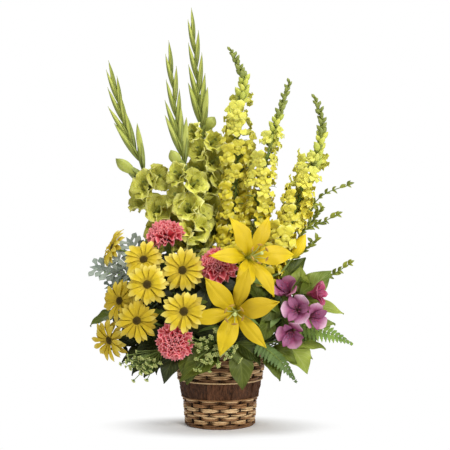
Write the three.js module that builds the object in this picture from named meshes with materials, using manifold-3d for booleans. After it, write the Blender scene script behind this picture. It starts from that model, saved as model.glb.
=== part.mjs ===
// A flower basket arrangement: cut flowers and foliage standing in wet foam in a round woven basket.
// Millimetres, +Z up, the front of the arrangement towards -Y. The origin is the middle of the
// basket's foot, on the surface that it stands on.
import * as THREE from "three";
import { mergeVertices } from "three/addons/utils/BufferGeometryUtils.js";
import Module from "manifold-3d";

const wasm = await Module();
wasm.setup();

// ---------------------------------------------------------------- driving dimensions, in mm
const CLEARANCE = 0.6; // how far a neighbour is grown before it is cut from a piece that it meets
const BLADE_THICK = 0.8; // leaves and petals

const STAKES = 20; // uprights that the basket is woven on
const WEAVE_RELIEF = 1.6; // how far a strand stands out over a stake and in behind the next
const WALL_THICK = 4;
const FOOT_R = 60.5;
const LOWER = { bottom: 0.8, top: 49.4, bottomR: FOOT_R, topR: 64.5, rows: 6 };
const BARK = { bottom: 50, top: 79.4, bottomR: 68, topR: 73.5, chips: 10, lap: 1.4 };
const UPPER = { bottom: 80, top: 120.6, bottomR: 73, topR: 81, rows: 5 };
const RIM = { height: 127.6, radius: 82, tube: 6.4, twists: 15, waist: 0.28 };
const BASE_THICK = 6;
const STAKE = { width: 5, thick: 1.4, inset: 2 }; // inset: its gap from the wall
const POT = { bottom: 6.6, top: 116, bottomR: 50, topR: 66, wall: 1.6 };
const FOAM = { bottom: 9, shoulder: 132, top: 158, bottomR: 47, shoulderR: 62, topR: 48 };
const POT_SIDES = 16; // also the foam's

const HUB = [0, 0, 92]; // the point in the foam that every stem points back to
const STEM_START = 46; // how far from the hub a stem's cut end lies
const STEM_OUT = 76; // a stem is straight up to here, just outside the foam
const HOLE_ROOM = 0.6; // round a stem in its plain straight hole
const HOLE_PAST = { start: 1.5, out: 8 }; // how far a hole runs on past each end of the straight part
const STEM_R = {
  gladiolus: [3.6, 1.8],
  snapdragon: [2.8, 1.2],
  lily: [3, 2.4],
  lilyBud: [2.2, 2],
  carnation: [2.2, 4, 7], // slim, then its calyx
  daisy: [2.4, 2],
  daisyBranch: [1.5, 1.4, 1.6, 6.5], // slim, then the green cup under the bloom
  alstroemeria: [2.8, 2.4],
  alstroemeriaBranch: [1.5, 1.6, 3],
  salal: [2, 1.3],
  fern: [1.8, 1.4],
  sprig: [2, 1.5],
  twig: [1.4, 0.9],
  silver: [2, 1.4],
  silverBranch: [1.4, 1.2],
  bupleurum: [1.8, 1.4],
}; // each stem's radius at its foot and on to its top
const SPIRAL = 2.4; // the turn in radians from one floret of a spike to the next

// ---------------------------------------------------------------- finishes
const finish = (color, roughness) => new THREE.MeshStandardMaterial({ color, roughness, metalness: 0 });
const WICKER = finish(0xb58a58, 0.6);
const BARK_BROWN = finish(0x4f3426, 0.8);
const POT_GREEN = finish(0x2f3d2c, 0.5);
const FOAM_GREEN = finish(0x3f6a3c, 0.95);
const STEM_GREEN = finish(0x5f7d33, 0.6);
const GLADIOLUS_GREEN = finish(0xb9bf4e, 0.5);
const SNAPDRAGON_YELLOW = finish(0xe2cc33, 0.6);
const DAISY_YELLOW = finish(0xf0d52e, 0.6);
const CARNATION_PINK = finish(0xe0607a, 0.7);
const LILY_YELLOW = finish(0xf6c90e, 0.5);
const ALSTROEMERIA_MAUVE = finish(0xa85c96, 0.5);
const SALAL_GREEN = finish(0x3f6330, 0.4);
const FERN_GREEN = finish(0x55803a, 0.6);
const SILVER_GREEN = finish(0x9fae9d, 0.9);
const LIME_GREEN = finish(0x9fb04e, 0.6);

// ---------------------------------------------------------------- geometry
const vector = (place) => new THREE.Vector3(...place);
const UPWARD = vector([0, 0, 1]);
const mix = THREE.MathUtils.lerp;

/** A geometry with merged corners and nothing but its positions. */
function bare(geometry) {
  geometry.deleteAttribute("normal");
  geometry.deleteAttribute("uv");
  return mergeVertices(geometry, 1e-3);
}

/** Moves every vertex of a geometry by a formula. */
function bent(geometry, move) {
  const spots = geometry.getAttribute("position");
  const spot = new THREE.Vector3();
  for (let i = 0; i < spots.count; i += 1) {
    move(spot.fromBufferAttribute(spots, i));
    spots.setXYZ(i, spot.x, spot.y, spot.z);
  }
  return geometry;
}

/** A closed plate made from a flat sheet: spotOf(point of the sheet, face of +1 or -1) places a vertex. */
function plate(sheet, spotOf) {
  const flat = bare(sheet);
  const points = flat.getAttribute("position");
  const count = points.count;
  const spots = [];
  for (const face of [1, -1]) {
    for (let i = 0; i < count; i += 1) {
      const spot = spotOf(new THREE.Vector3().fromBufferAttribute(points, i), face);
      spots.push(spot.x, spot.y, spot.z);
    }
  }
  const corners = Array.from(flat.index.array);
  const edges = new Map();
  for (let i = 0; i < corners.length; i += 3) {
    for (let k = 0; k < 3; k += 1) {
      const [from, to] = [corners[i + k], corners[i + ((k + 1) % 3)]];
      edges.set(`${from} ${to}`, [from, to]);
    }
  }
  const faces = [...corners];
  for (let i = 0; i < corners.length; i += 3) {
    faces.push(corners[i] + count, corners[i + 2] + count, corners[i + 1] + count);
  }
  for (const [from, to] of edges.values()) {
    if (!edges.has(`${to} ${from}`)) {
      faces.push(to, from, from + count, to, from + count, to + count);
    }
  }
  return new THREE.BufferGeometry()
    .setAttribute("position", new THREE.Float32BufferAttribute(spots, 3))
    .setIndex(faces);
}

/** Half a leaf's width along it, from 0 to 1 and back to 0, widest at peak; root keeps the base wide. */
function outline(t, peak, root = 0) {
  const swell = Math.sin(Math.PI * Math.min(1, Math.max(0, t)) ** (Math.log(0.5) / Math.log(peak)));
  return swell * (1 - root * (1 - t)) + root * (1 - t);
}

/** A leaf or petal from base to tip: face is the way its upper side looks, arch its rise, fold its keel. */
function blade({
  base, tip, face, width, peak = 0.5, root = 0, arch = 0, fold = 0, curl = 0, along = 4, thick = BLADE_THICK,
}) {
  const [start, end] = [vector(base), vector(tip)];
  const chord = end.clone().sub(start);
  const side = chord.clone().cross(vector(face)).normalize();
  const rise = side.clone().cross(chord).normalize();
  return plate(new THREE.PlaneGeometry(2, 1, 2, along), (p, layer) => {
    const t = p.y + 0.5;
    const half = (width / 2) * outline(t, peak, root);
    const keel = fold * Math.abs(p.x) * half;
    const lift = arch * 4 * t * (1 - t) - curl * t ** 3 + keel + (layer * thick) / 2;
    return start.clone().addScaledVector(chord, t)
      .addScaledVector(side, p.x * half)
      .addScaledVector(rise, lift);
  });
}

/** A stem's way: a smooth line through its points, taken in straight steps. */
function limb(points) {
  const steps = points.length - 1;
  const curve = new THREE.CatmullRomCurve3(points.map(vector), false, "catmullrom", 0.5);
  const spots = curve.getPoints(steps);
  const step = (t) => Math.min(steps - 1, Math.floor(t * steps));
  return {
    at: (t) => spots[step(t)].clone().lerp(spots[step(t) + 1], t * steps - step(t)),
    along: (t) => spots[step(t) + 1].clone().sub(spots[step(t)]).normalize(),
    steps,
  };
}

/** A stem along its way: radii are its radius at its start, at its end and, in between, at even spaces. */
function stem(points, radii, sides = 4) {
  const way = limb(points);
  const chord = vector(points.at(-1)).sub(vector(points[0])).normalize();
  const aside = Math.abs(chord.x) < 0.8 ? vector([1, 0, 0]) : vector([0, 1, 0]);
  return bent(new THREE.CylinderGeometry(1, 1, 1, sides, way.steps), (p) => {
    const t = Math.round((p.y + 0.5) * way.steps) / way.steps;
    const along = way.along(Math.max(0, t - 1e-6)).add(way.along(Math.min(1, t + 1e-6)));
    const across = along.clone().cross(aside).normalize();
    const over = across.clone().cross(along).normalize();
    const place = t * (radii.length - 1);
    const before = Math.min(radii.length - 2, Math.floor(place));
    const radius = mix(radii[before], radii[before + 1], place - before);
    const [x, z] = [p.x * radius, p.z * radius];
    p.copy(way.at(t)).addScaledVector(across, x).addScaledVector(over, z);
  });
}

/** A lathe profile turned about +Z. */
function turned(profile, segments) {
  const points = profile.map(([r, z]) => new THREE.Vector2(r, z));
  return new THREE.LatheGeometry(points, segments).rotateX(Math.PI / 2);
}

/** A small knot at a fork, where branches part. */
const knot = (at, radius) => new THREE.OctahedronGeometry(radius).translate(...at);

/** Moves geometries from a flower's own frame, which faces +Z, to its place and the way it faces. */
function placed(geometries, at, facing, spin = 0) {
  const turn = new THREE.Quaternion().setFromUnitVectors(UPWARD, vector(facing).normalize());
  turn.multiply(new THREE.Quaternion().setFromAxisAngle(UPWARD, spin));
  const frame = new THREE.Matrix4().compose(vector(at), turn, vector([1, 1, 1]));
  return geometries.map((geometry) => geometry.applyMatrix4(frame));
}

/** The point at a distance behind a flower's face. */
function behind(at, facing, distance) {
  return vector(at).addScaledVector(vector(facing).normalize(), -distance).toArray();
}

/** The foam's holes: each is the line that a stem stands in. */
const holes = [];

/** A stem's points, begun in the foam on the line from the hub to its first point. */
function rooted(points, thick) {
  const out = vector(points[0]).sub(vector(HUB)).normalize();
  const at = (distance) => vector(HUB).addScaledVector(out, distance).toArray();
  const radius = (thick + HOLE_ROOM) / Math.cos(Math.PI / 4);
  holes.push(stem([at(STEM_START - HOLE_PAST.start), at(STEM_OUT + HOLE_PAST.out)], [radius, radius]));
  return [at(STEM_START), at(STEM_OUT), ...points];
}

// ---------------------------------------------------------------- solids
/** The solid of a closed geometry, grown by a clearance along its corners' normals. */
function solidOf(geometry, growth = 0) {
  const flat = bare(geometry.clone());
  const spots = flat.getAttribute("position");
  const corners = [];
  for (let i = 0; i < flat.index.count; i += 3) {
    const [a, b, c] = [0, 1, 2].map((k) => flat.index.getX(i + k));
    if (a !== b && b !== c && a !== c) corners.push(a, b, c);
  }
  const [at, ab, ac] = [0, 1, 2].map(() => new THREE.Vector3());
  const normals = Array.from({ length: spots.count }, () => new THREE.Vector3());
  let volume = 0;
  for (let i = 0; i < corners.length; i += 3) {
    at.fromBufferAttribute(spots, corners[i]);
    ab.fromBufferAttribute(spots, corners[i + 1]);
    ac.fromBufferAttribute(spots, corners[i + 2]);
    volume += at.dot(ab.clone().cross(ac));
    const normal = ab.sub(at).cross(ac.sub(at)).normalize();
    for (const k of [0, 1, 2]) normals[corners[i + k]].add(normal);
  }
  const outward = Math.sign(volume);
  normals.forEach((normal, i) => {
    at.fromBufferAttribute(spots, i).addScaledVector(normal.normalize(), growth * outward);
    spots.setXYZ(i, at.x, at.y, at.z);
  });
  const triVerts = new Uint32Array(corners);
  if (outward < 0) triVerts.reverse();
  const made = new wasm.Mesh({ numProp: 3, vertProperties: spots.array, triVerts });
  return new wasm.Manifold(made);
}

/** The union of closed geometries, each grown by a clearance. */
const joined = (geometries, growth) => wasm.Manifold.union(geometries.map((g) => solidOf(g, growth)));

/** The largest body of a solid. */
function largest(solid) {
  return solid.decompose().reduce((best, body) => (body.volume() > best.volume() ? body : best));
}

/** Whether two solids' bounding boxes meet. */
function near(a, b) {
  const [boxA, boxB] = [a.boundingBox(), b.boundingBox()];
  return [0, 1, 2].every((k) => boxA.min[k] < boxB.max[k] && boxB.min[k] < boxA.max[k]);
}

/** The named three.js mesh of a solid. */
function meshOf(name, material, solid) {
  const made = solid.getMesh();
  const geometry = new THREE.BufferGeometry()
    .setAttribute("position", new THREE.BufferAttribute(made.vertProperties, 3))
    .setIndex(new THREE.BufferAttribute(made.triVerts, 1));
  const mesh = new THREE.Mesh(geometry, material);
  mesh.name = name;
  return mesh;
}

// ---------------------------------------------------------------- basket
/** A band of basket weave: each row's strand goes out over one stake and in behind the next. */
function weave({ bottom, top, bottomR, topR, rows }) {
  const pitch = (top - bottom) / rows;
  const rowHeights = Array.from({ length: rows }, (_, row) => bottom + (row + 0.5) * pitch);
  const radiusAt = (z) => mix(bottomR, topR, (z - bottom) / (top - bottom));
  const outer = [bottom, ...rowHeights, top].map((z) => [radiusAt(z), z]);
  const inner = [top, bottom].map((z) => [radiusAt(z) - WALL_THICK, z]);
  return bent(turned([...outer, ...inner, outer[0]], STAKES), (p) => {
    const row = rowHeights.findIndex((z) => Math.abs(z - p.z) < 0.01);
    const radius = Math.hypot(p.x, p.y);
    if (row < 0 || radius < radiusAt(p.z) - 1) return;
    const turn = Math.atan2(p.y, p.x);
    const out = WEAVE_RELIEF * Math.cos((turn * STAKES) / 2 + Math.PI * row);
    p.x *= 1 + out / radius;
    p.y *= 1 + out / radius;
  });
}

/** The dark band: flat chips of bark, each lapping over the next. */
function barkBand() {
  const { bottom, top, bottomR, topR, chips, lap } = BARK;
  const outer = [[bottomR, bottom], [topR, top]];
  const inner = [[topR - WALL_THICK, top], [bottomR - WALL_THICK, bottom]];
  const profile = [...outer, ...inner, outer[0]];
  return bent(turned(profile, chips * 3), (p) => {
    const radius = Math.hypot(p.x, p.y);
    const wall = mix(bottomR, topR, (p.z - bottom) / (top - bottom));
    if (radius < wall - 1) return;
    const turn = (Math.atan2(p.y, p.x) / (2 * Math.PI) + 1) * chips;
    const out = lap * (turn - Math.floor(turn + 1e-6) - 0.5);
    p.x *= 1 + out / radius;
    p.y *= 1 + out / radius;
  });
}

/** The braided border: a ring whose strands bulge as they cross it. */
function rim() {
  const ring = new THREE.TorusGeometry(RIM.radius, RIM.tube, 5, RIM.twists * 2);
  ring.translate(0, 0, RIM.height);
  return bent(ring, (p) => {
    const turn = Math.atan2(p.y, p.x);
    const out = Math.hypot(p.x, p.y) - RIM.radius;
    const roll = Math.atan2(p.z - RIM.height, out);
    const swell = 1 - (RIM.waist / 2) * (1 - Math.cos(turn * RIM.twists + roll));
    const radius = RIM.radius + out * swell;
    p.set(Math.cos(turn) * radius, Math.sin(turn) * radius, RIM.height + (p.z - RIM.height) * swell);
  });
}

/** The round base with its stakes turned up inside the wall. */
function base() {
  const discR = FOOT_R - WALL_THICK - 1;
  const disc = turned([[0, 0], [discR, 0], [discR, BASE_THICK], [0, BASE_THICK]], STAKES);
  const heights = [BASE_THICK / 3, LOWER.top, UPPER.top];
  const walls = [LOWER.bottomR, LOWER.topR, UPPER.topR - 1];
  const stakes = Array.from({ length: STAKES / 2 }, (_, i) => {
    const turn = ((2 * i) / STAKES) * 2 * Math.PI;
    const strip = new THREE.BoxGeometry(STAKE.thick, STAKE.width, 1, 1, 1, 2);
    return bent(strip, (p) => {
      const level = Math.round((p.z + 0.5) * 2);
      p.x += walls[level] - WALL_THICK - STAKE.inset - STAKE.thick;
      p.z = heights[level];
    }).rotateZ(turn);
  });
  return [disc, ...stakes];
}

/** The waterproof pot that lines the basket. */
function pot() {
  const { bottom, top, bottomR, topR, wall } = POT;
  const outer = [[0, bottom], [bottomR, bottom], [topR, top]];
  const inner = [[topR - wall, top], [bottomR - wall, bottom + wall], [0, bottom + wall]];
  return turned([...outer, ...inner], POT_SIDES);
}

/** The block of wet foam, before its holes. */
function foam() {
  const { bottom, shoulder, top, bottomR, shoulderR, topR } = FOAM;
  const side = [[bottomR, bottom], [shoulderR - 0.5, POT.top], [shoulderR, shoulder], [topR, top]];
  return turned([[0, bottom], ...side, [0, top]], POT_SIDES);
}

// ---------------------------------------------------------------- flowers, each facing +Z in its own frame
/** A daisy: one whorl of blunt rays, every other one raised, round a low disc. */
function daisy(radius) {
  const rays = 12;
  const raise = 1.6; // of every other ray
  const reach = [[0.34, -0.5], [0.94, -0.3], [1, 0.2]]; // a ray's corners: share of radius and of its width
  const discShare = 0.22;
  const shape = new THREE.Shape();
  for (let i = 0; i < rays * reach.length; i += 1) {
    const [share, aside] = reach[i % reach.length];
    const turn = ((Math.floor(i / reach.length) + aside) / rays) * 2 * Math.PI;
    const spot = [Math.cos(turn) * radius * share, Math.sin(turn) * radius * share];
    if (i === 0) shape.moveTo(...spot);
    else shape.lineTo(...spot);
  }
  const flower = plate(new THREE.ShapeGeometry(shape, 1), (p, layer) => {
    const share = p.length() / radius;
    const ray = Math.round((Math.atan2(p.y, p.x) / (2 * Math.PI)) * rays);
    const slope = 4.5 + (ray % 2 === 0 ? raise : -raise);
    p.z = 1 + slope * share - 3.5 * share ** 3 + layer * 0.5;
    return p;
  });
  const disc = new THREE.SphereGeometry(radius * discShare, 6, 2);
  disc.rotateX(Math.PI / 2).scale(1, 1, 0.6).translate(0, 0, 2.4);
  return [flower, disc];
}

/** A carnation: toothed and ruffled skirts of petals in rings, one rising inside the next. */
function carnation(radius) {
  const teeth = 7;
  const lips = [[1, 0], [0.76, 0.3], [0.5, 0.46], [0.24, 0.52]]; // each ring's lip: radius and height
  const profile = [[0, -CARNATION_FOOT], [0.3, -CARNATION_FOOT + 0.06]];
  for (const [r, lip] of lips) {
    profile.push([r, lip - 0.05], [r - 0.06, lip]);
    if (r > 0.3) profile.push([r - 0.2, lip - 0.1]);
  }
  profile.push([0, 0.4]);
  const scaled = profile.map(([r, z]) => [r * radius, z * radius]);
  return [bent(turned(scaled, teeth * 2), (p) => {
    const share = Math.hypot(p.x, p.y) / radius;
    const ring = lips.findIndex(([r, lip]) => (
      Math.abs(share - r + 0.03) < 0.05 && p.z > (lip - 0.09) * radius
    ));
    if (ring < 0) return;
    const turn = Math.atan2(p.y, p.x);
    const tooth = 0.05 * Math.cos(turn * teeth) + 0.06 * Math.cos(turn * 3 + ring * 2);
    p.x *= 1 + tooth;
    p.y *= 1 + tooth;
    p.z += radius * 0.08 * Math.sin(turn * 5 + ring * 2.5);
  })];
}

/** A lily: six tepals that open from a funnel and roll back, with its stamens and pistil. */
function lily(radius, depth) {
  const petals = { reach: 0.94, lift: 4, width: 0.6, arch: 11, along: 4, level: 1 };
  const sepals = { reach: 1, lift: 0, width: 0.44, arch: 8, along: 3, level: -1.4 };
  const tepals = Array.from({ length: 6 }, (_, i) => {
    const { reach, lift, width, arch, along, level } = i % 2 === 0 ? petals : sepals;
    return blade({
      base: [2, 0, -depth], tip: [radius * reach, 0, lift], face: [0, 0, 1], width: radius * width,
      peak: 0.58, root: 0.1, arch, curl: 9, fold: -0.1, along, thick: 1.2,
    }).rotateZ((i / 6) * 2 * Math.PI).translate(0, 0, level);
  });
  const stamens = Array.from({ length: 6 }, (_, i) => (
    stem([[0, 0, -depth * 0.6], [15, 0, 14]], [0.8, 2], 3).rotateZ(((i + 0.5) / 6) * 2 * Math.PI)
  ));
  const pistil = stem([[0, 0, -depth - 1], [0, 0, 17]], [3, 1.6]);
  return [...tepals, ...stamens, pistil];
}

/** A trumpet of six joined tepals: a notch parts each two, and every other one can stand forward. */
function trumpet({ radius, depth, notch, corners, forward = 0, throat = 0.3, ruffle = 0 }) {
  const outside = [[0, -depth], [radius * throat, -depth * 0.5], [radius, 0]];
  const profile = [...outside, [radius - 1, 1], [0, -depth * 0.6]];
  return bent(turned(profile, 6 * corners), (p) => {
    const share = Math.hypot(p.x, p.y) / radius;
    const corner = Math.round((Math.atan2(p.y, p.x) / (2 * Math.PI) + 1) * 6 * corners);
    if (share < 0.6) return;
    const reach = corner % corners === 0 ? notch : 1;
    const layer = Math.floor(corner / corners) % 2;
    p.x *= reach;
    p.y *= reach;
    p.z += (reach - 1) * depth * 0.7 + forward * layer + ruffle * Math.sin(corner * 1.7);
  });
}

/** A closed bud: a pointed spindle from the origin along +Z. */
function bud(length, width, sides = 4) {
  const profile = [[0, 0], [width * 0.5, length * 0.38], [width * 0.38, length * 0.7], [0, length]];
  return turned(profile, sides);
}

/** A snapdragon floret: a narrow tube that swells into a pouch with an upper and a lower lip. */
function snapdragonFloret(length, width) {
  const profile = [[0, 0], [width * 0.36, length * 0.45], [width * 0.5, length * 0.86], [0, length * 0.9]];
  return bent(turned(profile, 4), (p) => {
    const lip = p.z > length * 0.8 ? Math.hypot(p.x, p.y) / width : 0;
    const up = Math.cos(Math.atan2(p.y, p.x) * 2);
    p.x *= 1 + 0.3 * lip * up;
    p.z += lip * length * 0.3 * up;
  });
}

// ---------------------------------------------------------------- foliage
/** A frond: an arched blade cut almost to its rib into leaflets, which shorten towards its tip. */
function frond(foot, tip, face, width, leaflets, full = 0.3) {
  const rib = 0.035; // half the rib's width, as a share of the frond's
  const [arch, droop] = [10, 8];
  const shape = new THREE.Shape();
  const spots = [];
  for (let i = 0; i < leaflets; i += 1) {
    const [from, to] = [i / leaflets, (i + 0.82) / leaflets];
    const place = mix(full, 1, (i + 0.5) / leaflets) ** 0.8;
    const reach = Math.sin(Math.PI * Math.min(0.97, place)) * 0.5 + rib;
    spots.push([rib, from], [reach, mix(from, to, 0.85) + 0.05], [rib, to]);
  }
  shape.moveTo(0, 0);
  spots.forEach(([x, t]) => shape.lineTo(x, t));
  shape.lineTo(0, 1);
  spots.reverse().forEach(([x, t]) => shape.lineTo(-x, t));
  const [start, end] = [vector(foot), vector(tip)];
  const chord = end.clone().sub(start);
  const side = chord.clone().cross(vector(face)).normalize();
  const rise = side.clone().cross(chord).normalize();
  return plate(new THREE.ShapeGeometry(shape, 1), (p, layer) => (
    start.clone().addScaledVector(chord, p.y)
      .addScaledVector(side, p.x * width)
      .addScaledVector(rise, arch * 4 * p.y * (1 - p.y) - droop * p.x * p.x + (layer * BLADE_THICK) / 2)
  ));
}

/** Small leaves in pairs along a branch, with one at its tip. */
function pairs(way, count = 3) {
  const spine = limb(way);
  return Array.from({ length: count * 2 + 1 }, (_, i) => {
    const t = i === count * 2 ? 0.96 : mix(0.22, 0.94, Math.floor(i / 2) / (count - 1));
    const along = spine.along(t);
    const turn = Math.floor(i / 2) * 1.3 + (i % 2) * Math.PI;
    const [right, up] = [Math.sin(turn), Math.cos(turn)];
    const facing = i === count * 2 ? along.toArray()
      : [along.x + right * 0.5, along.y - up * 0.7, along.z + up * 0.8];
    const leaf = turned([[0, 0], [4, 8], [0, 15]], 3).scale(1, 0.5, 1);
    return placed([leaf], spine.at(t).toArray(), facing, turn)[0];
  });
}

// ---------------------------------------------------------------- the flowers' places
// Open gladiolus florets are [place along the stem, side, turn, radius].
const GLADIOLI = [
  {
    name: "gladiolus_left",
    way: [[-74, 34, 250], [-112, 36, 352], [-135, 41, 440], [-168, 43, 517], [-190, 44, 600]],
    florets: [[0.63, 1, 0.3, 25], [0.56, -1, 0.6, 26], [0.49, 1, -0.2, 27], [0.42, -1, 0.5, 27]],
    buds: 9,
  },
  {
    name: "gladiolus_middle",
    way: [[-38, 2, 255], [-52, 16, 350], [-61, 30, 440], [-75, 31, 516], [-88, 32, 640]],
    florets: [[0.57, -1, 0.4, 24], [0.5, 1, 0.5, 25], [0.43, -1, 0.6, 26], [0.36, 1, 0.3, 26]],
    buds: 9,
  },
  {
    name: "gladiolus_right",
    way: [[-12, 50, 255], [-18, 60, 356], [-24, 61, 446], [-34, 58, 530], [-50, 56, 715]],
    florets: [
      [0.62, 1, 0.5, 24], [0.56, -1, 0.5, 25], [0.49, 1, 0.6, 26], [0.42, -1, 0.6, 26], [0.35, 1, 0.5, 27],
      [0.28, -1, 0.5, 26],
    ],
    buds: 10,
  },
];
const SNAPDRAGONS = [
  {
    name: "snapdragon_left",
    way: [[15, 18, 255], [26, 15, 382], [31, 21, 460], [33, 22, 540], [40, 22, 600], [18, 22, 658]],
  },
  {
    name: "snapdragon_middle",
    way: [[32, -10, 250], [61, -18, 350], [77, -17, 440], [92, -12, 505], [110, -4, 562], [122, 2, 597]],
  },
  {
    name: "snapdragon_right",
    way: [
      [68, -20, 240], [116, -32, 340], [142, -33, 404], [165, -30, 460], [176, -26, 520], [164, -20, 568],
    ],
  },
];
const SNAPDRAGON_FLORETS = 12;
const SNAPDRAGON_BUDS = 6;
const DAISY_R = 30;
const DAISIES = [
  { at: [-184, -20, 308], facing: [-0.85, -0.35, 0.4], spray: 0 },
  { at: [-128, -66, 288], facing: [-0.1, -0.85, 0.5], spray: 0 },
  { at: [-119, -108, 249], facing: [-0.05, -1, 0.12], spray: 0 },
  { at: [-62, -95, 272], facing: [0.1, -1, 0.1], spray: 1 },
  { at: [-168, -62, 219], facing: [-0.55, -0.83, 0.05], spray: 2 },
  { at: [-136, -104, 190], facing: [-0.15, -0.95, -0.15], spray: 2 },
  { at: [-58, -131, 207], facing: [0.02, -1, 0.06], spray: 1 },
  { at: [-187, -48, 151], facing: [-0.6, -0.75, -0.2], spray: 2 },
];
const DAISY_FORKS = [
  [[-68, -30, 186], [-104, -36, 246]],
  [[-26, -52, 172], [-44, -72, 206]],
  [[-78, -36, 166], [-118, -52, 182]],
];
const CARNATION_FOOT = 0.62; // from a carnation's outer petals back to its foot, as a share of its radius
const CARNATIONS = [
  { at: [-94, -38, 333], facing: [-0.15, -0.5, 0.85], radius: 31, way: [[-44, -12, 205], [-78, -18, 265]] },
  { at: [-3, -84, 281], facing: [-0.05, -0.85, 0.5], radius: 30, way: [[-10, -34, 205]] },
  { at: [-74, -118, 155], facing: [-0.1, -0.97, -0.12], radius: 29, way: [[-46, -60, 158]] },
];
const LILIES = [
  {
    name: "upper", at: [60, -114, 298], facing: [0.4, -0.9, 0.17], spin: 0.4,
    way: [[18, -50, 200], [34, -66, 250]],
    leaves: [[0.4, [68, -62, 206]], [0.6, [88, -76, 240]]],
  },
  {
    name: "lower", at: [24, -150, 205], facing: [-0.05, -0.98, -0.05], spin: 0.15,
    way: [[8, -72, 168], [16, -96, 186]],
    leaves: [[0.45, [-44, -84, 166]], [0.65, [68, -90, 180]]],
  },
];
const LILY_R = 70;
const LILY_DEPTH = 34;
const LILY_BUD = {
  at: [126, -26, 292], facing: [0.45, -0.25, 0.85], length: 46, width: 22,
  fork: 0.62, via: [96, -44, 262], // where its branch leaves the upper lily's stem, and the branch's bend
};
const ALSTROEMERIA_FORK = [[62, -46, 160], [102, -58, 192]];
const ALSTROEMERIAS = [
  { at: [110, -66, 243], facing: [-0.35, -0.65, 0.65], radius: 21 },
  { at: [172, -56, 232], facing: [0.9, -0.4, 0.1], radius: 20 },
  { at: [126, -106, 208], facing: [-0.2, -0.95, 0.15], radius: 23 },
  { at: [160, -90, 194], facing: [0.45, -0.88, 0.05], radius: 21 },
  { at: [116, -110, 166], facing: [-0.15, -0.92, -0.3], radius: 22 },
];
const ALSTROEMERIA_DEPTH = 28;

// Leafy stems: a way, and leaves as [place along it, tip, the way the leaf looks, width].
const SALAL = [
  {
    name: "salal_front_left", way: [[-28, -66, 144], [-32, -94, 150], [-36, -102, 144]],
    leaves: [[1, [-54, -116, 86], [-0.3, -0.9, 0.4], 46], [0.4, [-90, -96, 108], [-0.5, -0.7, 0.6], 32, 3]],
  },
  {
    name: "salal_front_right", way: [[20, -68, 150], [28, -96, 152], [30, -102, 144]],
    leaves: [[1, [38, -112, 76], [0.2, -0.95, 0.3], 42], [0.5, [68, -100, 116], [0.6, -0.7, 0.5], 36, 3]],
  },
  {
    name: "salal_low_left", way: [[-68, -18, 140], [-96, -32, 146], [-114, -44, 138]],
    leaves: [
      [1, [-166, -60, 116], [-0.2, -0.5, 0.9], 34], [0.7, [-106, -88, 100], [-0.2, -0.8, 0.5], 32],
      [0.5, [-146, -16, 134], [-0.2, 0, 1], 34],
    ],
  },
  {
    name: "salal_left", way: [[-70, 0, 158], [-128, -8, 184], [-172, -14, 192]],
    leaves: [
      [1, [-226, -18, 174], [0, -0.5, 0.9], 34], [0.75, [-196, 26, 214], [-0.2, 0.3, 0.9], 36],
    ],
  },
  {
    name: "salal_right", way: [[56, -4, 176], [112, -12, 206], [142, -16, 222]],
    leaves: [
      [1, [192, -28, 268], [0.1, -0.9, 0.4], 46], [0.9, [140, -16, 276], [-0.2, -0.8, 0.3], 42],
      [0.7, [214, -28, 196], [0.2, -0.7, 0.7], 38],
    ],
  },
  {
    name: "salal_low_right", way: [[66, -36, 142], [98, -46, 148], [116, -52, 142]],
    leaves: [
      [1, [146, -94, 102], [0.2, -0.8, 0.6], 48], [0.7, [182, -40, 136], [0.3, -0.5, 0.8], 38],
    ],
  },
  {
    name: "salal_back_left", way: [[-34, 44, 180], [-58, 68, 250], [-76, 80, 310]],
    leaves: [
      [1, [-104, 84, 374], [-0.2, 0.9, 0.3], 42], [0.8, [-24, 100, 330], [0.2, 0.9, 0.2], 42, 3],
      [0.7, [-142, 84, 278], [-0.4, 0.9, 0.3], 42], [0.45, [-92, 108, 186], [-0.3, 0.8, 0.5], 44, 3],
      [0.3, [-16, 116, 232], [0.1, 0.9, 0.4], 42, 3],
    ],
  },
  {
    name: "salal_back_right", way: [[34, 44, 180], [66, 64, 246], [88, 72, 300]],
    leaves: [
      [1, [124, 74, 362], [0.2, 0.9, 0.3], 42], [0.8, [48, 96, 322], [-0.2, 0.9, 0.2], 42, 3],
      [0.7, [146, 84, 272], [0.4, 0.9, 0.3], 42], [0.45, [108, 108, 182], [0.3, 0.8, 0.5], 44, 3],
      [0.3, [30, 118, 228], [-0.1, 0.9, 0.4], 42, 3],
    ],
  },
];
// Fern fronds: the way from the foam, the frond's base and tip, the way it looks and its width.
const FERNS = [
  {
    name: "fern_right", way: [[78, -8, 152]], base: [112, -36, 176], tip: [226, -50, 144],
    face: [0.1, -0.6, 0.8], width: 62, leaflets: 6,
  },
  {
    name: "fern_low_right", way: [[42, -66, 148]], base: [62, -92, 150], tip: [126, -112, 88],
    face: [0.3, -0.6, 0.6], width: 40, leaflets: 6,
  },
  {
    name: "fern_left", way: [[-70, 30, 170]], base: [-94, 44, 204], tip: [-214, 40, 268],
    face: [-0.3, -0.6, 0.8], width: 66, leaflets: 6,
  },
  {
    name: "fern_back_left", way: [[-20, 66, 150]], base: [-38, 92, 158], tip: [-92, 152, 140],
    face: [-0.2, 0.5, 0.9], width: 70, leaflets: 5,
  },
  {
    name: "fern_back_right", way: [[22, 66, 150]], base: [40, 92, 158], tip: [98, 150, 142],
    face: [0.2, 0.5, 0.9], width: 70, leaflets: 5,
  },
];
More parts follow.
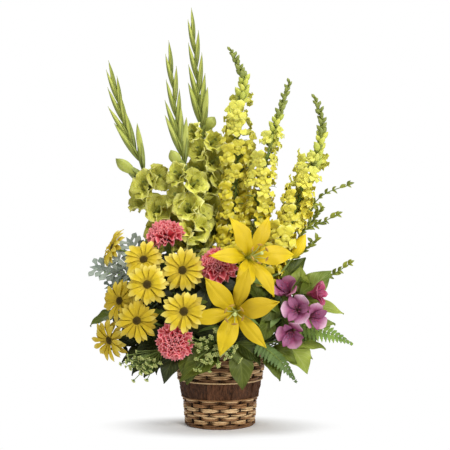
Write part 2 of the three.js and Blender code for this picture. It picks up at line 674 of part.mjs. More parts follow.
// Small-leaved sprigs: each branch is a way with leaves in pairs along it.
const SPRIGS = [
  {
    name: "sprig_upper_right", trunk: [[60, 14, 210], [112, 10, 300], [136, 6, 340]],
    branches: [[[136, 6, 340], [176, 4, 396], [227, 0, 418]], [[136, 6, 340], [166, 4, 346], [207, 0, 366]]],
  },
  {
    name: "sprig_right", trunk: [[62, 26, 170], [120, 16, 214], [158, 12, 240]],
    branches: [[[158, 12, 240], [192, 8, 256], [228, 2, 280]]],
  },
];
// The silver leaves, each from its foot to its tip.
const SILVER = {
  way: [[-66, 14, 186], [-118, 10, 240]],
  leaves: [[[-150, 6, 254], [-228, -4, 274]], [[-128, 14, 262], [-166, 20, 326]]],
};
// Heads of tiny flowers, each on its own stalk from the top of a trunk.
const UMBELS = [
  {
    name: "bupleurum_front", trunk: [[-2, -78, 138], [-6, -104, 150]],
    heads: [
      [-32, -120, 150], [-13, -124, 162], [8, -122, 154], [16, -122, 134], [-8, -128, 138], [-26, -131, 128],
    ],
  },
  {
    name: "bupleurum_left", trunk: [[-54, -58, 142], [-96, -82, 138]],
    heads: [[-120, -98, 122], [-134, -96, 108], [-148, -92, 120], [-126, -100, 92], [-112, -104, 108]],
  },
];

// ---------------------------------------------------------------- pieces
// A piece's firm parts are never cut, and its soft parts make way.
const pieces = [];
const addPiece = (name, material, firm, soft = []) => pieces.push({ name, material, firm, soft });

function addGladioli() {
  const depth = 31; // of a floret
  for (const { name, way, florets, buds } of GLADIOLI) {
    const points = rooted(way, STEM_R.gladiolus[0]);
    const spine = limb(points);
    const soft = florets.map(([t, side, turn, radius]) => {
      const facing = [side * 0.75, -0.8 + turn * 0.3, 0.35];
      const at = behind(spine.at(t).toArray(), facing, 1 - depth);
      return placed([trumpet({ radius, depth, notch: 0.78, corners: 2, ruffle: 2 })], at, facing, turn)[0];
    });
    for (let i = 0; i < buds; i += 1) {
      const share = i / (buds - 1);
      const t = mix(0.98, florets[0][0] + 0.05, share);
      const side = i % 2 === 0 ? 1 : -1;
      const along = spine.along(t);
      const facing = i === 0 ? along.toArray() : [along.x + side * 0.34, along.y - 0.12, along.z];
      soft.push(placed([bud(mix(46, 58, share), mix(8, 13, share))], spine.at(t).toArray(), facing)[0]);
    }
    addPiece(name, GLADIOLUS_GREEN, [stem(points, STEM_R.gladiolus, 5)], soft);
  }
}

function addSnapdragons() {
  for (const { name, way } of SNAPDRAGONS) {
    const points = rooted(way, STEM_R.snapdragon[0]);
    const spine = limb(points);
    const soft = [];
    for (let i = 0; i < SNAPDRAGON_FLORETS; i += 1) {
      const share = i / (SNAPDRAGON_FLORETS - 1);
      const t = mix(0.44, 0.83, share);
      const turn = i * SPIRAL;
      const facing = [Math.cos(turn), Math.sin(turn), 0.35];
      const [length, width] = [mix(33, 21, share), mix(30, 19, share)];
      soft.push(placed([snapdragonFloret(length, width)], spine.at(t).toArray(), facing)[0]);
    }
    for (let i = 0; i < SNAPDRAGON_BUDS; i += 1) {
      const share = i / (SNAPDRAGON_BUDS - 1);
      const t = mix(0.865, 0.99, share);
      const along = spine.along(t);
      const turn = i * SPIRAL;
      const facing = [Math.cos(turn) + along.x, Math.sin(turn) + along.y, 0.5 + along.z];
      const [length, width] = [mix(17, 10, share), mix(10, 6, share)];
      soft.push(placed([bud(length, width, 3)], spine.at(t).toArray(), facing)[0]);
    }
    addPiece(name, SNAPDRAGON_YELLOW, [stem(points, STEM_R.snapdragon)], soft);
  }
}

function addDaisies() {
  DAISIES.forEach(({ at, facing }, i) => {
    addPiece(`daisy_bloom_${i + 1}`, DAISY_YELLOW, [], placed(daisy(DAISY_R), at, facing, i));
  });
  DAISY_FORKS.forEach((way, spray) => {
    const fork = way.at(-1);
    const firm = [stem(rooted(way, STEM_R.daisy[0]), STEM_R.daisy), knot(fork, 4)];
    const soft = [];
    DAISIES.filter((bloom) => bloom.spray === spray).forEach(({ at, facing }, i) => {
      const branch = [fork, behind(at, facing, 36), behind(at, facing, 9), behind(at, facing, 3)];
      firm.push(stem(branch, STEM_R.daisyBranch));
      if (i === 1 && spray !== 1) return;
      const root = limb(branch).at(0.3);
      const [right, up] = i % 2 ? [30, 14] : [-28, -18];
      const tip = [root.x + right, root.y - 6, root.z + up];
      soft.push(blade({ base: root.toArray(), tip, face: [0, -0.6, 0.8], width: 20, arch: 4, along: 2 }));
    });
    addPiece(`daisy_spray_${spray + 1}`, STEM_GREEN, firm, soft);
  });
}

function addCarnations() {
  CARNATIONS.forEach(({ at, facing, radius, way }, i) => {
    const foot = radius * CARNATION_FOOT;
    const [slim, ...calyx] = STEM_R.carnation;
    addPiece(`carnation_bloom_${i + 1}`, CARNATION_PINK, [], placed(carnation(radius), at, facing, i));
    const points = rooted([...way, behind(at, facing, foot + 28), behind(at, facing, foot + 2)], slim);
    const radii = [...points.slice(2).map(() => slim), ...calyx];
    addPiece(`carnation_stem_${i + 1}`, STEM_GREEN, [stem(points, radii, 5)]);
  });
}

function addLilies() {
  for (const { name, at, facing, spin, way, leaves } of LILIES) {
    addPiece(`lily_bloom_${name}`, LILY_YELLOW, [], placed(lily(LILY_R, LILY_DEPTH), at, facing, spin));
    const end = behind(at, facing, LILY_DEPTH + 3);
    const points = rooted([...way, behind(at, facing, LILY_DEPTH + 22), end], STEM_R.lily[0]);
    const firm = [stem(points, STEM_R.lily)];
    const spine = limb(points);
    const soft = leaves.map(([t, tip]) => (
      blade({ base: spine.at(t).toArray(), tip, face: [0, -0.4, 0.9], width: 15, arch: 8, along: 3 })
    ));
    if (name === "upper") {
      firm.push(stem([spine.at(LILY_BUD.fork).toArray(), LILY_BUD.via, LILY_BUD.at], STEM_R.lilyBud));
    }
    addPiece(`lily_stem_${name}`, STEM_GREEN, firm, soft);
  }
  const { at, facing, length, width } = LILY_BUD;
  addPiece("lily_bud", LILY_YELLOW, [], placed([bud(length, width, 6)], behind(at, facing, -0.8), facing));
}

function addAlstroemerias() {
  const fork = ALSTROEMERIA_FORK.at(-1);
  const points = rooted(ALSTROEMERIA_FORK, STEM_R.alstroemeria[0]);
  const firm = [stem(points, STEM_R.alstroemeria), knot(fork, 5)];
  const depth = ALSTROEMERIA_DEPTH;
  ALSTROEMERIAS.forEach(({ at, facing, radius }, i) => {
    const flower = trumpet({ radius, depth, notch: 0.5, corners: 3, forward: 4, throat: 0.34 });
    addPiece(`alstroemeria_bloom_${i + 1}`, ALSTROEMERIA_MAUVE, [], placed([flower], at, facing, i));
    const branch = [fork, behind(at, facing, depth + 14), behind(at, facing, depth + 1.5)];
    firm.push(stem(branch, STEM_R.alstroemeriaBranch));
  });
  const soft = [[66, -84, 214], [98, -30, 232]].map((tip) => (
    blade({ base: fork, tip, face: [0, -0.5, 0.8], width: 13, arch: 5, along: 2 })
  ));
  addPiece("alstroemeria_stem", STEM_GREEN, firm, soft);
}

function addSalal() {
  for (const { name, way, leaves } of SALAL) {
    const points = rooted(way, STEM_R.salal[0]);
    const spine = limb(points);
    const soft = leaves.map(([t, tip, face, width, along = 4]) => {
      const root = spine.at(mix(0.4, 1, t)).toArray();
      return blade({ base: root, tip, face, width, along, peak: 0.42, arch: 7, fold: 0.12 });
    });
    addPiece(name, SALAL_GREEN, [stem(points, STEM_R.salal)], soft);
  }
}

function addFerns() {
  for (const { name, way, base: foot, tip, face, width, leaflets } of FERNS) {
    const points = rooted([...way, foot], STEM_R.fern[0]);
    addPiece(name, FERN_GREEN, [stem(points, STEM_R.fern)], [frond(foot, tip, face, width, leaflets)]);
  }
}

function addSprigs() {
  for (const { name, trunk, branches } of SPRIGS) {
    const twigs = branches.map((way) => stem(way, STEM_R.twig));
    const firm = [stem(rooted(trunk, STEM_R.sprig[0]), STEM_R.sprig), ...twigs];
    addPiece(name, LIME_GREEN, firm, branches.flatMap((way) => pairs(way)));
  }
}

function addDustyMiller() {
  const [width, lobes, full] = [42, 3, 0.72];
  const fork = SILVER.way.at(-1);
  const firm = [stem(rooted(SILVER.way, STEM_R.silver[0]), STEM_R.silver)];
  const soft = SILVER.leaves.map(([foot, tip]) => {
    firm.push(stem([fork, foot], STEM_R.silverBranch));
    return frond(foot, tip, [-0.2, -0.8, 0.6], width, lobes, full);
  });
  addPiece("dusty_miller", SILVER_GREEN, firm, soft);
}

function addBupleurum() {
  const [stalkR, headR] = [1.1, 6.5];
  for (const { name, trunk, heads } of UMBELS) {
    const fork = trunk.at(-1);
    const firm = [stem(rooted(trunk, STEM_R.bupleurum[0]), STEM_R.bupleurum), knot(fork, 3)];
    const soft = heads.flatMap((at, i) => {
      const facing = vector(at).sub(vector(fork));
      const reach = facing.length();
      const stalk = [[0, -reach], [stalkR, -reach], [stalkR, -3]];
      return placed([turned([...stalk, [headR, 1.6], [0, 4.6]], 5)], at, facing.toArray(), i);
    });
    addPiece(name, LIME_GREEN, firm, soft);
  }
}

// ---------------------------------------------------------------- assembly
addPiece("basket_base", WICKER, base());
addPiece("basket_lower_weave", WICKER, [weave(LOWER)]);
addPiece("basket_bark_band", BARK_BROWN, [barkBand()]);
addPiece("basket_upper_weave", WICKER, [weave(UPPER)]);
addPiece("basket_rim", BARK_BROWN, [rim()]);
addPiece("pot_liner", POT_GREEN, [pot()]);
addGladioli();
addSnapdragons();
addLilies();
addCarnations();
addDaisies();
addAlstroemerias();
addSalal();
addFerns();
addSprigs();
addDustyMiller();
addBupleurum();

// Firm parts stay whole. Each piece's soft parts make way for every other piece's firm parts, and for
// the soft parts of the pieces before it. A scrap that this leaves loose is dropped.
for (const piece of pieces) {
  piece.firmSolid = piece.firm.length ? joined(piece.firm) : null;
  piece.firmRoom = piece.firm.length ? joined(piece.firm, CLEARANCE) : null;
  piece.softRoom = piece.soft.length ? joined(piece.soft, CLEARANCE) : null;
}
const arrangement = new THREE.Group();
pieces.forEach((piece, i) => {
  let solid = piece.firmSolid;
  if (piece.soft.length) {
    const soft = joined(piece.soft);
    const others = pieces.flatMap((other, k) => {
      if (k === i) return [];
      return [other.firmRoom, k < i ? other.softRoom : null].filter((room) => room && near(room, soft));
    });
    const trimmed = others.length ? wasm.Manifold.difference([soft, ...others]) : soft;
    solid = solid ? solid.add(trimmed) : trimmed;
  }
  arrangement.add(meshOf(piece.name, piece.material, largest(solid)));
});
arrangement.add(meshOf("floral_foam", FOAM_GREEN, solidOf(foam()).subtract(joined(holes))));

export default arrangement;
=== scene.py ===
"""The looks of a flower basket arrangement: petals, leaves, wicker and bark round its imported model.

Shapes are made in millimetres and scaled to metres when a piece is finished. The front of the arrangement
faces -Y, and +Z is up.
"""

import logging
from collections.abc import Callable, Sequence
from dataclasses import dataclass, field
from enum import Enum
from functools import cached_property
from math import cos, exp, log, pi, sin, sqrt, tau
from random import Random

import bmesh
import bpy
from mathutils import Matrix, Vector, noise


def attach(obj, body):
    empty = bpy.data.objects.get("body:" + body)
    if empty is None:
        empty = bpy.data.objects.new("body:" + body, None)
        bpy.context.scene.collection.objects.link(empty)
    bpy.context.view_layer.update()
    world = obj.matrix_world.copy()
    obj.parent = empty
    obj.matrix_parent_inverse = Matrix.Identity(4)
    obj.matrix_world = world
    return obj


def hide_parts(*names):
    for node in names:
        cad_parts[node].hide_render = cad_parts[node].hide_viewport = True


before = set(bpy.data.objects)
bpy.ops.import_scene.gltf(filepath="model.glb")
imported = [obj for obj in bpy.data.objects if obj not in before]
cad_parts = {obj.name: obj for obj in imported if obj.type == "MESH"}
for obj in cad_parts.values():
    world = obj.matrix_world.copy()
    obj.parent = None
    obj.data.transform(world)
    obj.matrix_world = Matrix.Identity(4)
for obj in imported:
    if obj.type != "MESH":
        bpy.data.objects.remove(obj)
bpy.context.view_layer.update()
LOG = logging.getLogger("arrangement")

# ---- shared sizes, in millimetres
MM = 0.001  # in metres
WELD = 0.001  # corners nearer than this are one
HUB = Vector((0, 0, 92))  # the point in the foam that every stem points back to
STEM_START = 46  # how far from the hub a stem's cut end lies
STEM_OUT = 76  # a stem is straight up to here
SPIRAL = 2.4  # the turn from one floret of a spike to the next, in radians
SPREAD_TURN = 2.39996  # the turn that spreads points evenly over a disc, in radians
SHARP_EDGE = 1.0  # the angle past which two faces keep a crisp edge, in radians
UPWARD = Vector((0, 0, 1))

Mesh = bpy.types.Mesh
Shape = bmesh.types.BMesh
Node = bpy.types.Node
Socket = bpy.types.NodeSocket
Colour = tuple[float, float, float, float]
Pair = tuple[float, float]
Point = tuple[float, float, float]
Points = Sequence[Point]
Spot = Callable[[float, float], Vector]  # a point, from its shares across and along a sheet
Line = Callable[[float], Pair]  # a distance from the axis and a height, from a turn about it


class Slot(Enum):
    """The record's material slots."""

    WICKER = "wicker"
    BARK = "bark"
    LINER = "liner"
    FOAM = "foam"
    GLADIOLUS = "gladiolus"
    SNAPDRAGON = "snapdragon"
    LILY = "lily"
    CARNATION = "carnation"
    DAISY = "daisy"
    ALSTROEMERIA = "alstroemeria"
    STEM = "stem"
    SALAL = "salal"
    FERN = "fern"
    SPRIG = "sprig"
    SILVER_LEAF = "silver_leaf"


def colour(code: int) -> Colour:
    """The linear red, green, blue and alpha of a web colour code, 0xRRGGBB."""
    shares = (((code >> shift) & 255) / 255 for shift in (16, 8, 0))
    return (*(c / 12.92 if c <= 0.04045 else ((c + 0.055) / 1.055) ** 2.4 for c in shares), 1.0)


def mix(a: float, b: float, share: float) -> float:
    """The value at a share of the way from a to b."""
    return a + (b - a) * share


def outline(t: float, peak: float, root: float = 0.0) -> float:
    """The share of its greatest width that a blade has at t, widest at peak and root wide at its base."""
    swell = sin(pi * min(1.0, max(0.0, t)) ** (log(0.5) / log(peak)))
    return swell * (1 - root * (1 - t)) + root * (1 - t)


# ---- ways and places
def around(turn: float, reach: float, height: float) -> Vector:
    """The point at a turn about +Z, at a distance from it and a height."""
    return Vector((cos(turn) * reach, sin(turn) * reach, height))


def in_foam(toward: Sequence[float], distance: float = STEM_START) -> Vector:
    """The point at a distance from the hub, on the line from it to a point."""
    return HUB + (Vector(toward) - HUB).normalized() * distance


class Way:
    """A smooth line through points, in millimetres."""

    STEPS = 200  # how many even() measures a line in

    def __init__(self, points: Sequence[Sequence[float]]) -> None:
        """Keeps the points that the line passes."""
        self.points = [Vector(point) for point in points]

    @classmethod
    def rooted(cls, points: Sequence[Sequence[float]]) -> "Way":
        """A stem's way, begun in the foam on the line from the hub to its first point."""
        return cls([*(in_foam(points[0], far) for far in (STEM_START, STEM_OUT)), *points])

    def at(self, t: float) -> Vector:
        """The point at a share of the line, each of its spans counting alike.

        Args:
            t: The share, from 0 at its start to 1 at its end.

        Returns:
            The point.
        """
        spans = len(self.points) - 1
        place = min(max(t, 0.0), 1.0) * spans
        i = min(int(place), spans - 1)
        f = place - i
        a, b = self.points[i], self.points[i + 1]
        before = self.points[i - 1] if i > 0 else a * 2 - b
        after = self.points[i + 2] if i + 2 <= spans else b * 2 - a
        square = before * 2 - a * 5 + b * 4 - after
        cubic = a * 3 - before - b * 3 + after
        return (a * 2 + (b - before) * f + square * f**2 + cubic * f**3) / 2

    def along(self, t: float) -> Vector:
        """The way that the line runs at a share of it."""
        return (self.at(t + 0.01) - self.at(t - 0.01)).normalized()

    def even(self, start: float, end: float, count: int) -> list[float]:
        """Places an equal distance apart along the line.

        Args:
            start: The share of the line where the first place is.
            end: The share where the last one is.
            count: How many there are.

        Returns:
            The share of the line at each place.
        """
        marks = [mix(start, end, k / self.STEPS) for k in range(self.STEPS + 1)]
        runs = [0.0]
        for a, b in zip(marks, marks[1:]):
            runs.append(runs[-1] + (self.at(b) - self.at(a)).length)
        places, k = [], 0
        for i in range(count):
            run = runs[-1] * i / (count - 1)
            while k < self.STEPS - 1 and runs[k + 1] < run:
                k += 1
            places.append(mix(marks[k], marks[k + 1], (run - runs[k]) / (runs[k + 1] - runs[k])))
        return places


def moved(*to: float) -> Matrix:
    """A move from the origin to a point."""
    return Matrix.Translation(to)


def posed(at: Sequence[float], facing: Sequence[float], spin: float = 0.0) -> Matrix:
    """Takes a flower that faces +Z to its place, turned to face a way and spun about it, in radians."""
    turn = UPWARD.rotation_difference(Vector(facing)).to_matrix().to_4x4()
    return moved(*at) @ turn @ Matrix.Rotation(spin, 4, "Z")


def upright(at: Sequence[float], facing: Sequence[float]) -> Matrix:
    """Like posed, but the flower's own +Y stays as near to upward as it can.

    Args:
        at: Where its middle goes.
        facing: The way that it faces.

    Returns:
        The matrix.
    """
    ahead = Vector(facing).normalized()
    side = UPWARD.cross(ahead).normalized()
    up = ahead.cross(side)
    turn = Matrix((side, up, ahead)).transposed().to_4x4()
    return moved(*at) @ turn


def behind(at: Sequence[float], facing: Sequence[float], distance: float) -> Vector:
    """The point at a distance behind a flower's face."""
    return Vector(at) - Vector(facing).normalized() * distance


# ---- shapes
def linked(name: str, data: bpy.types.ID) -> bpy.types.Object:
    """A new object in the scene.

    Args:
        name: Its name.
        data: Its mesh, light or camera.

    Returns:
        The object.
    """
    made = bpy.data.objects.new(name, data)
    bpy.context.scene.collection.objects.link(made)
    return made


def blank() -> Shape:
    """An empty shape with a tint at each corner and a UV map.

    Returns:
        The shape.
    """
    shape = bmesh.new()
    shape.verts.layers.float.new("tint")
    shape.loops.layers.uv.new("UVMap")
    return shape


def gridded(spot: Spot, columns: int, rows: int) -> Shape:
    """A sheet of squares bent into shape.

    Args:
        spot: Places a point of the sheet.
        columns: Squares across.
        rows: Squares along.

    Returns:
        The bent sheet, with the shares across and along it as its UV map.
    """
    shape = blank()
    uv = shape.loops.layers.uv["UVMap"]
    bmesh.ops.create_grid(shape, x_segments=columns, y_segments=rows, size=0.5)
    for face in shape.faces:
        for loop in face.loops:
            loop[uv].uv = (loop.vert.co.x + 0.5, loop.vert.co.y + 0.5)
    for vert in shape.verts:
        vert.co = spot(vert.co.x + 0.5, vert.co.y + 0.5)
    bmesh.ops.remove_doubles(shape, verts=shape.verts, dist=WELD)
    return shape


def settled(shape: Shape) -> Mesh:
    """Turns a shape's faces outward and smooths it, but for its sharp edges.

    Args:
        shape: The closed shape, which is used up.

    Returns:
        Its mesh.
    """
    bmesh.ops.recalc_face_normals(shape, faces=shape.faces)
    for face in shape.faces:
        face.smooth = True
    for edge in shape.edges:
        edge.smooth = edge.calc_face_angle(0.0) < SHARP_EDGE
    mesh = bpy.data.meshes.new("shape")
    shape.to_mesh(mesh)
    shape.free()
    return mesh


def thin(spot: Spot, columns: int, rows: int, thick: float) -> Mesh:
    """A petal or leaf: a bent sheet with a real thickness.

    Args:
        spot: Places a point of the sheet.
        columns: Squares across.
        rows: Squares along.
        thick: The thickness, in millimetres.

    Returns:
        The mesh.
    """
    shape = gridded(spot, columns, rows)
    bmesh.ops.solidify(shape, geom=list(shape.faces), thickness=thick)
    return settled(shape)


def rolled(spot: Spot, columns: int, rows: int) -> Mesh:
    """A closed body: a sheet rolled up so that its sides meet, with any open end filled.

    Args:
        spot: Places a point of the sheet.
        columns: Squares round the body.
        rows: Squares along it.

    Returns:
        The mesh.
    """
    shape = gridded(spot, columns, rows)
    open_edges = [edge for edge in shape.edges if edge.is_boundary]
    if open_edges:
        bmesh.ops.holes_fill(shape, edges=open_edges, sides=0)
    return settled(shape)


def tube(way: Way, radius: Callable[[float], float], sides: int = 8, rings: int = 12) -> Mesh:
    """A round stem along a way.

    Args:
        way: The line that it follows.
        radius: Its radius at a share of the line.
        sides: Sides round it.
        rings: Steps along it.

    Returns:
        The mesh.
    """
    chord = way.points[-1] - way.points[0]
    aside = Vector((1, 0, 0)) if abs(chord.normalized().x) < 0.8 else Vector((0, 1, 0))

    def spot(across: float, t: float) -> Vector:
        """A point of its skin."""
        ahead = way.along(t)
        over = ahead.cross(aside).normalized()
        turn = across * tau
        out = over * cos(turn) + over.cross(ahead) * sin(turn)
        return way.at(t) + out * radius(t)

    return rolled(spot, sides, rings)


def turned(profile: Sequence[Pair], sides: int) -> Mesh:
    """A body turned about +Z.

    Args:
        profile: Its outline as radius and height, from the axis back to the axis.
        sides: Sides round it.

    Returns:
        The mesh.
    """
    last = len(profile) - 1

    def spot(across: float, t: float) -> Vector:
        """A point of its skin."""
        return around(across * tau, *profile[round(t * last)])

    return rolled(spot, sides, last)


def ball(radius: float, detail: int = 2) -> Mesh:
    """A round knob, made more finely with more detail."""
    bmesh.ops.create_icosphere(shape := blank(), subdivisions=detail, radius=radius)
    return settled(shape)


def sides(chord: Vector, face: Sequence[float]) -> tuple[Vector, Vector]:
    """The ways aside and upward from a leaf's chord, for a leaf whose upper side faces a way."""
    side = chord.cross(Vector(face)).normalized()
    return side, side.cross(chord).normalized()


class Sheet:
    """A thin petal or leaf: what its spot method makes of a flat sheet."""

    spot: Spot

    def mesh(self, columns: int, rows: int, thick: float) -> Mesh:
        """The closed mesh, with squares across and along it, and a thickness."""
        return thin(self.spot, columns, rows, thick)


@dataclass(frozen=True)
class Blade(Sheet):
    """A leaf or petal from its base to its tip, in millimetres."""

    base: Sequence[float]
    tip: Sequence[float]
    face: Sequence[float]  # the way that its upper side faces
    width: float
    peak: float = 0.5  # where it is widest, as a share of its length
    root: float = 0.0  # how wide its base is, as a share of its width
    arch: float = 0.0  # how far its middle rises
    fold: float = 0.0  # how far its sides rise for each millimetre from its midrib
    curl: float = 0.0  # how far its tip bends back
    ruffle: float = 0.0  # how far its edges wave up and down
    waves: float = 2.5  # how many times they do
    phase: float = 0.0
    teeth: int = 0  # the notches along each edge
    tooth: float = 0.0  # how deep they are, as a share of half its width
    quilt: float = 0.0  # how far it swells between its side veins
    groove: float = 0.0  # how deep its midrib lies

    def spot(self, across: float, t: float) -> Vector:
        """Where a point of the blade lies.

        Args:
            across: Its share across.
            t: Its share along.

        Returns:
            The point.
        """
        chord = Vector(self.tip) - Vector(self.base)
        side, rise = sides(chord, self.face)
        s = across * 2 - 1
        half = self.width / 2 * outline(t, self.peak, self.root)
        if self.teeth:
            half *= 1 - self.tooth * (0.5 + 0.5 * cos(tau * self.teeth * t))
        lift = self.arch * 4 * t * (1 - t) - self.curl * t**3 + self.fold * abs(s) * half
        wave = sin(tau * self.waves * t + self.phase + (0.9 if s > 0 else 0))
        lift += self.ruffle * abs(s) ** 1.5 * wave * min(1.0, 3 * t)
        lift += self.quilt * cos(tau * (t * 6 - abs(s) * 1.6)) * (1 - abs(2 * abs(s) - 1))
        lift -= self.groove * exp(-((s / 0.15) ** 2))
        return Vector(self.base) + chord * t + side * (s * half) + rise * lift


class Bench:
    """A piece in the making: shapes set side by side in one mesh, each with its finish."""

    def __init__(self) -> None:
        """Starts with nothing in it."""
        self.shape = blank()
        self.looks: list["Finish"] = []

    def add(self, part: Mesh, look: "Finish", place: Matrix | None = None, tint: float = 0.5) -> None:
        """Adds a copy of a shape.

        Args:
            part: The shape.
            look: Its finish.
            place: Where it goes, if it has to move.
            tint: What sets its colour apart, from 0 to 1.
        """
        if look not in self.looks:
            self.looks.append(look)
        index = self.looks.index(look)
        copy = part.copy()
        if place is not None:
            copy.transform(place)
        first_vert, first_face = len(self.shape.verts), len(self.shape.faces)
        self.shape.from_mesh(copy)
        bpy.data.meshes.remove(copy)
        self.shape.verts.ensure_lookup_table()
        self.shape.faces.ensure_lookup_table()
        layer = self.shape.verts.layers.float["tint"]
        for vert in self.shape.verts[first_vert:]:
            vert[layer] = tint
        for face in self.shape.faces[first_face:]:
            face.material_index = index

    def once(self, part: Mesh, look: "Finish", place: Matrix | None = None, tint: float = 0.5) -> None:
        """Adds a shape that is used only here, and clears it away."""
        self.add(part, look, place, tint)
        bpy.data.meshes.remove(part)

    def stem(
        self, way: Way, radii: Pair, sides: int = 8, rings: int = 20,
        look: "Finish | None" = None, place: Matrix | None = None, tint: float = 0.5,
    ) -> None:
        """Adds a stem that thins evenly from its first radius to its last, green if no finish is given."""
        self.once(tube(way, lambda t: mix(*radii, t), sides, rings), look or STEM_GREEN, place, tint)

    def finish(self, name: str, slot: Slot, *nodes: str) -> None:
        """Turns what is on the bench into a finished piece.

        Args:
            name: The piece's name.
            slot: The record's slot of its finish; not used.
            nodes: The solids that it stands for.
        """
        bmesh.ops.scale(self.shape, vec=(MM, MM, MM), verts=self.shape.verts)
        mesh = bpy.data.meshes.new(name)
        self.shape.to_mesh(mesh)
        self.shape.free()
        for look in self.looks:
            mesh.materials.append(look.material())
        piece = linked(name, mesh)
        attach(piece, "root")
        if nodes:
            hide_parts(*nodes)
        LOG.info("%s: %d faces", name, len(mesh.polygons))


# ---- finishes
class Tree:
    """A node tree, with short ways to add nodes and join them."""

    def __init__(self, tree: bpy.types.NodeTree) -> None:
        """Empties the tree and keeps it."""
        self.tree = tree
        self.tree.nodes.clear()

    def add(self, kind: str, inputs: dict[str | int, object] | None = None, **settings: object) -> Node:
        """Adds a node.

        Args:
            kind: Its type, without the ShaderNode before it.
            inputs: A value, or a socket to join, for each input.
            settings: Its other settings.

        Returns:
            The node.
        """
        node = self.tree.nodes.new(kind if kind.startswith("NodeGroup") else f"ShaderNode{kind}")
        for key, value in settings.items():
            setattr(node, key, value)
        for key, value in (inputs or {}).items():
            if isinstance(value, Socket):
                self.tree.links.new(value, node.inputs[key])
            else:
                node.inputs[key].default_value = value
        return node

    def math(self, operation: str, *values: object) -> Socket:
        """The result of a sum on values or sockets."""
        return self.add("Math", dict(enumerate(values)), operation=operation).outputs[0]

    def blend(self, share: object, a: object, b: object) -> Socket:
        """A colour that goes from a to b with share, each a colour code, a colour or a socket."""
        a, b = (colour(tone) if isinstance(tone, int) else tone for tone in (a, b))
        return self.add("Mix", {0: share, 6: a, 7: b}, data_type="RGBA").outputs[2]

    def ramp(self, value: object, stops: Sequence[tuple[float, int]]) -> Socket:
        """A colour that follows a value through stops.

        Args:
            value: The value, from 0 to 1.
            stops: The place and the colour code of each stop.

        Returns:
            The colour.
        """
        node = self.add("ValToRGB", {0: value})
        elements = node.color_ramp.elements
        while len(elements) < len(stops):
            elements.new(0.5)
        for element, (place, code) in zip(elements, stops):
            element.position = place
            element.color = colour(code)
        return node.outputs[0]

    def uv(self) -> tuple[Socket, Socket]:
        """How far across and how far along its shape each point is."""
        parts = self.add("SeparateXYZ", {0: self.add("UVMap").outputs[0]})
        return parts.outputs[0], parts.outputs[1]

    def tint(self) -> Socket:
        """What sets each shape's colour apart."""
        return self.add("Attribute", attribute_name="tint").outputs["Fac"]

    def clouds(self, where: Socket, scale: object, detail: float, low: float, high: float) -> Socket:
        """Soft noise from 0 to 1, of which what lies under low is 0 and what lies over high is 1."""
        noise_node = self.add("TexNoise", {"Vector": where, "Scale": scale, "Detail": detail})
        return self.add("MapRange", {0: noise_node.outputs[0], 1: low, 2: high}).outputs[0]


def shared(name: str, inputs: dict[str, float], build: Callable[[Tree, Node], Socket]) -> bpy.types.NodeTree:
    """A node group that gives one value, built once.

    Args:
        name: Its name.
        inputs: Its inputs and their defaults.
        build: Fills it, from its tree and its input node, and gives its value.

    Returns:
        The group.
    """
    group = bpy.data.node_groups.get(name)
    if group:
        return group
    group = bpy.data.node_groups.new(name, "ShaderNodeTree")
    for title, value in inputs.items():
        socket = group.interface.new_socket(title, in_out="INPUT", socket_type="NodeSocketFloat")
        socket.default_value = value
    group.interface.new_socket("Value", in_out="OUTPUT", socket_type="NodeSocketFloat")
    tree = Tree(group)
    entry = tree.add("NodeGroupInput")
    tree.add("NodeGroupOutput", {0: build(tree, entry)})
    return group


def vein_lines(tree: Tree, entry: Node) -> Socket:
    """Thin lines on a blade: its midrib, and others along it or slanting from it.

    Args:
        tree: The group's tree.
        entry: Its input node.

    Returns:
        How much of a line each point is, from 0 to 1.
    """
    across, along = tree.uv()
    aside = tree.math("ABSOLUTE", tree.math("MULTIPLY_ADD", across, 2.0, -1.0))
    leaned = tree.math("SUBTRACT", along, tree.math("MULTIPLY", aside, entry.outputs["Slant"]))
    phase = tree.math(
        "ADD",
        tree.math("MULTIPLY", aside, entry.outputs["Across"]),
        tree.math("MULTIPLY", leaned, entry.outputs["Along"]),
    )
    saw = tree.math("MULTIPLY_ADD", tree.math("FRACT", phase), 2.0, -1.0)
    line = tree.math("POWER", tree.math("ABSOLUTE", saw), entry.outputs["Fine"])
    rib = tree.math("POWER", tree.math("SUBTRACT", 1.0, aside), entry.outputs["Rib"])
    return tree.math("MAXIMUM", line, rib)


def patches(tree: Tree, entry: Node) -> Socket:
    """Soft uneven patches over the whole object, in the tree of a group with this input node."""
    where = tree.add("TexCoord").outputs["Object"]
    return tree.clouds(where, entry.outputs["Scale"], 3.0, 0.35, 0.65)


def fibres(tree: Tree, entry: Node) -> Socket:
    """Long streaks along a strand, a stem or a chip of bark, unlike from one to the next.

    Args:
        tree: The group's tree.
        entry: Its input node.

    Returns:
        How light each point is, from 0 to 1.
    """
    across, along = tree.uv()
    where = tree.add("CombineXYZ", {
        0: tree.math("MULTIPLY", across, entry.outputs["Across"]),
        1: tree.math("MULTIPLY", along, entry.outputs["Along"]),
        2: tree.math("MULTIPLY", tree.tint(), 40.0),
    })
    return tree.clouds(where.outputs[0], 1.0, 4.0, 0.3, 0.7)


class Effect(Enum):
    """The shared patterns, with their inputs and how each is built."""

    VEINS = ("veins", {"Across": 0.0, "Along": 0.0, "Slant": 0.0, "Fine": 8.0, "Rib": 30.0}, vein_lines)
    PATCHES = ("patches", {"Scale": 20.0}, patches)
    FIBRES = ("fibres", {"Across": 10.0, "Along": 2.0}, fibres)

    def place(self, tree: Tree, **values: float) -> Socket:
        """Adds the pattern to a material and returns its value."""
        return tree.add("Group", values, node_tree=shared(*self.value)).outputs[0]


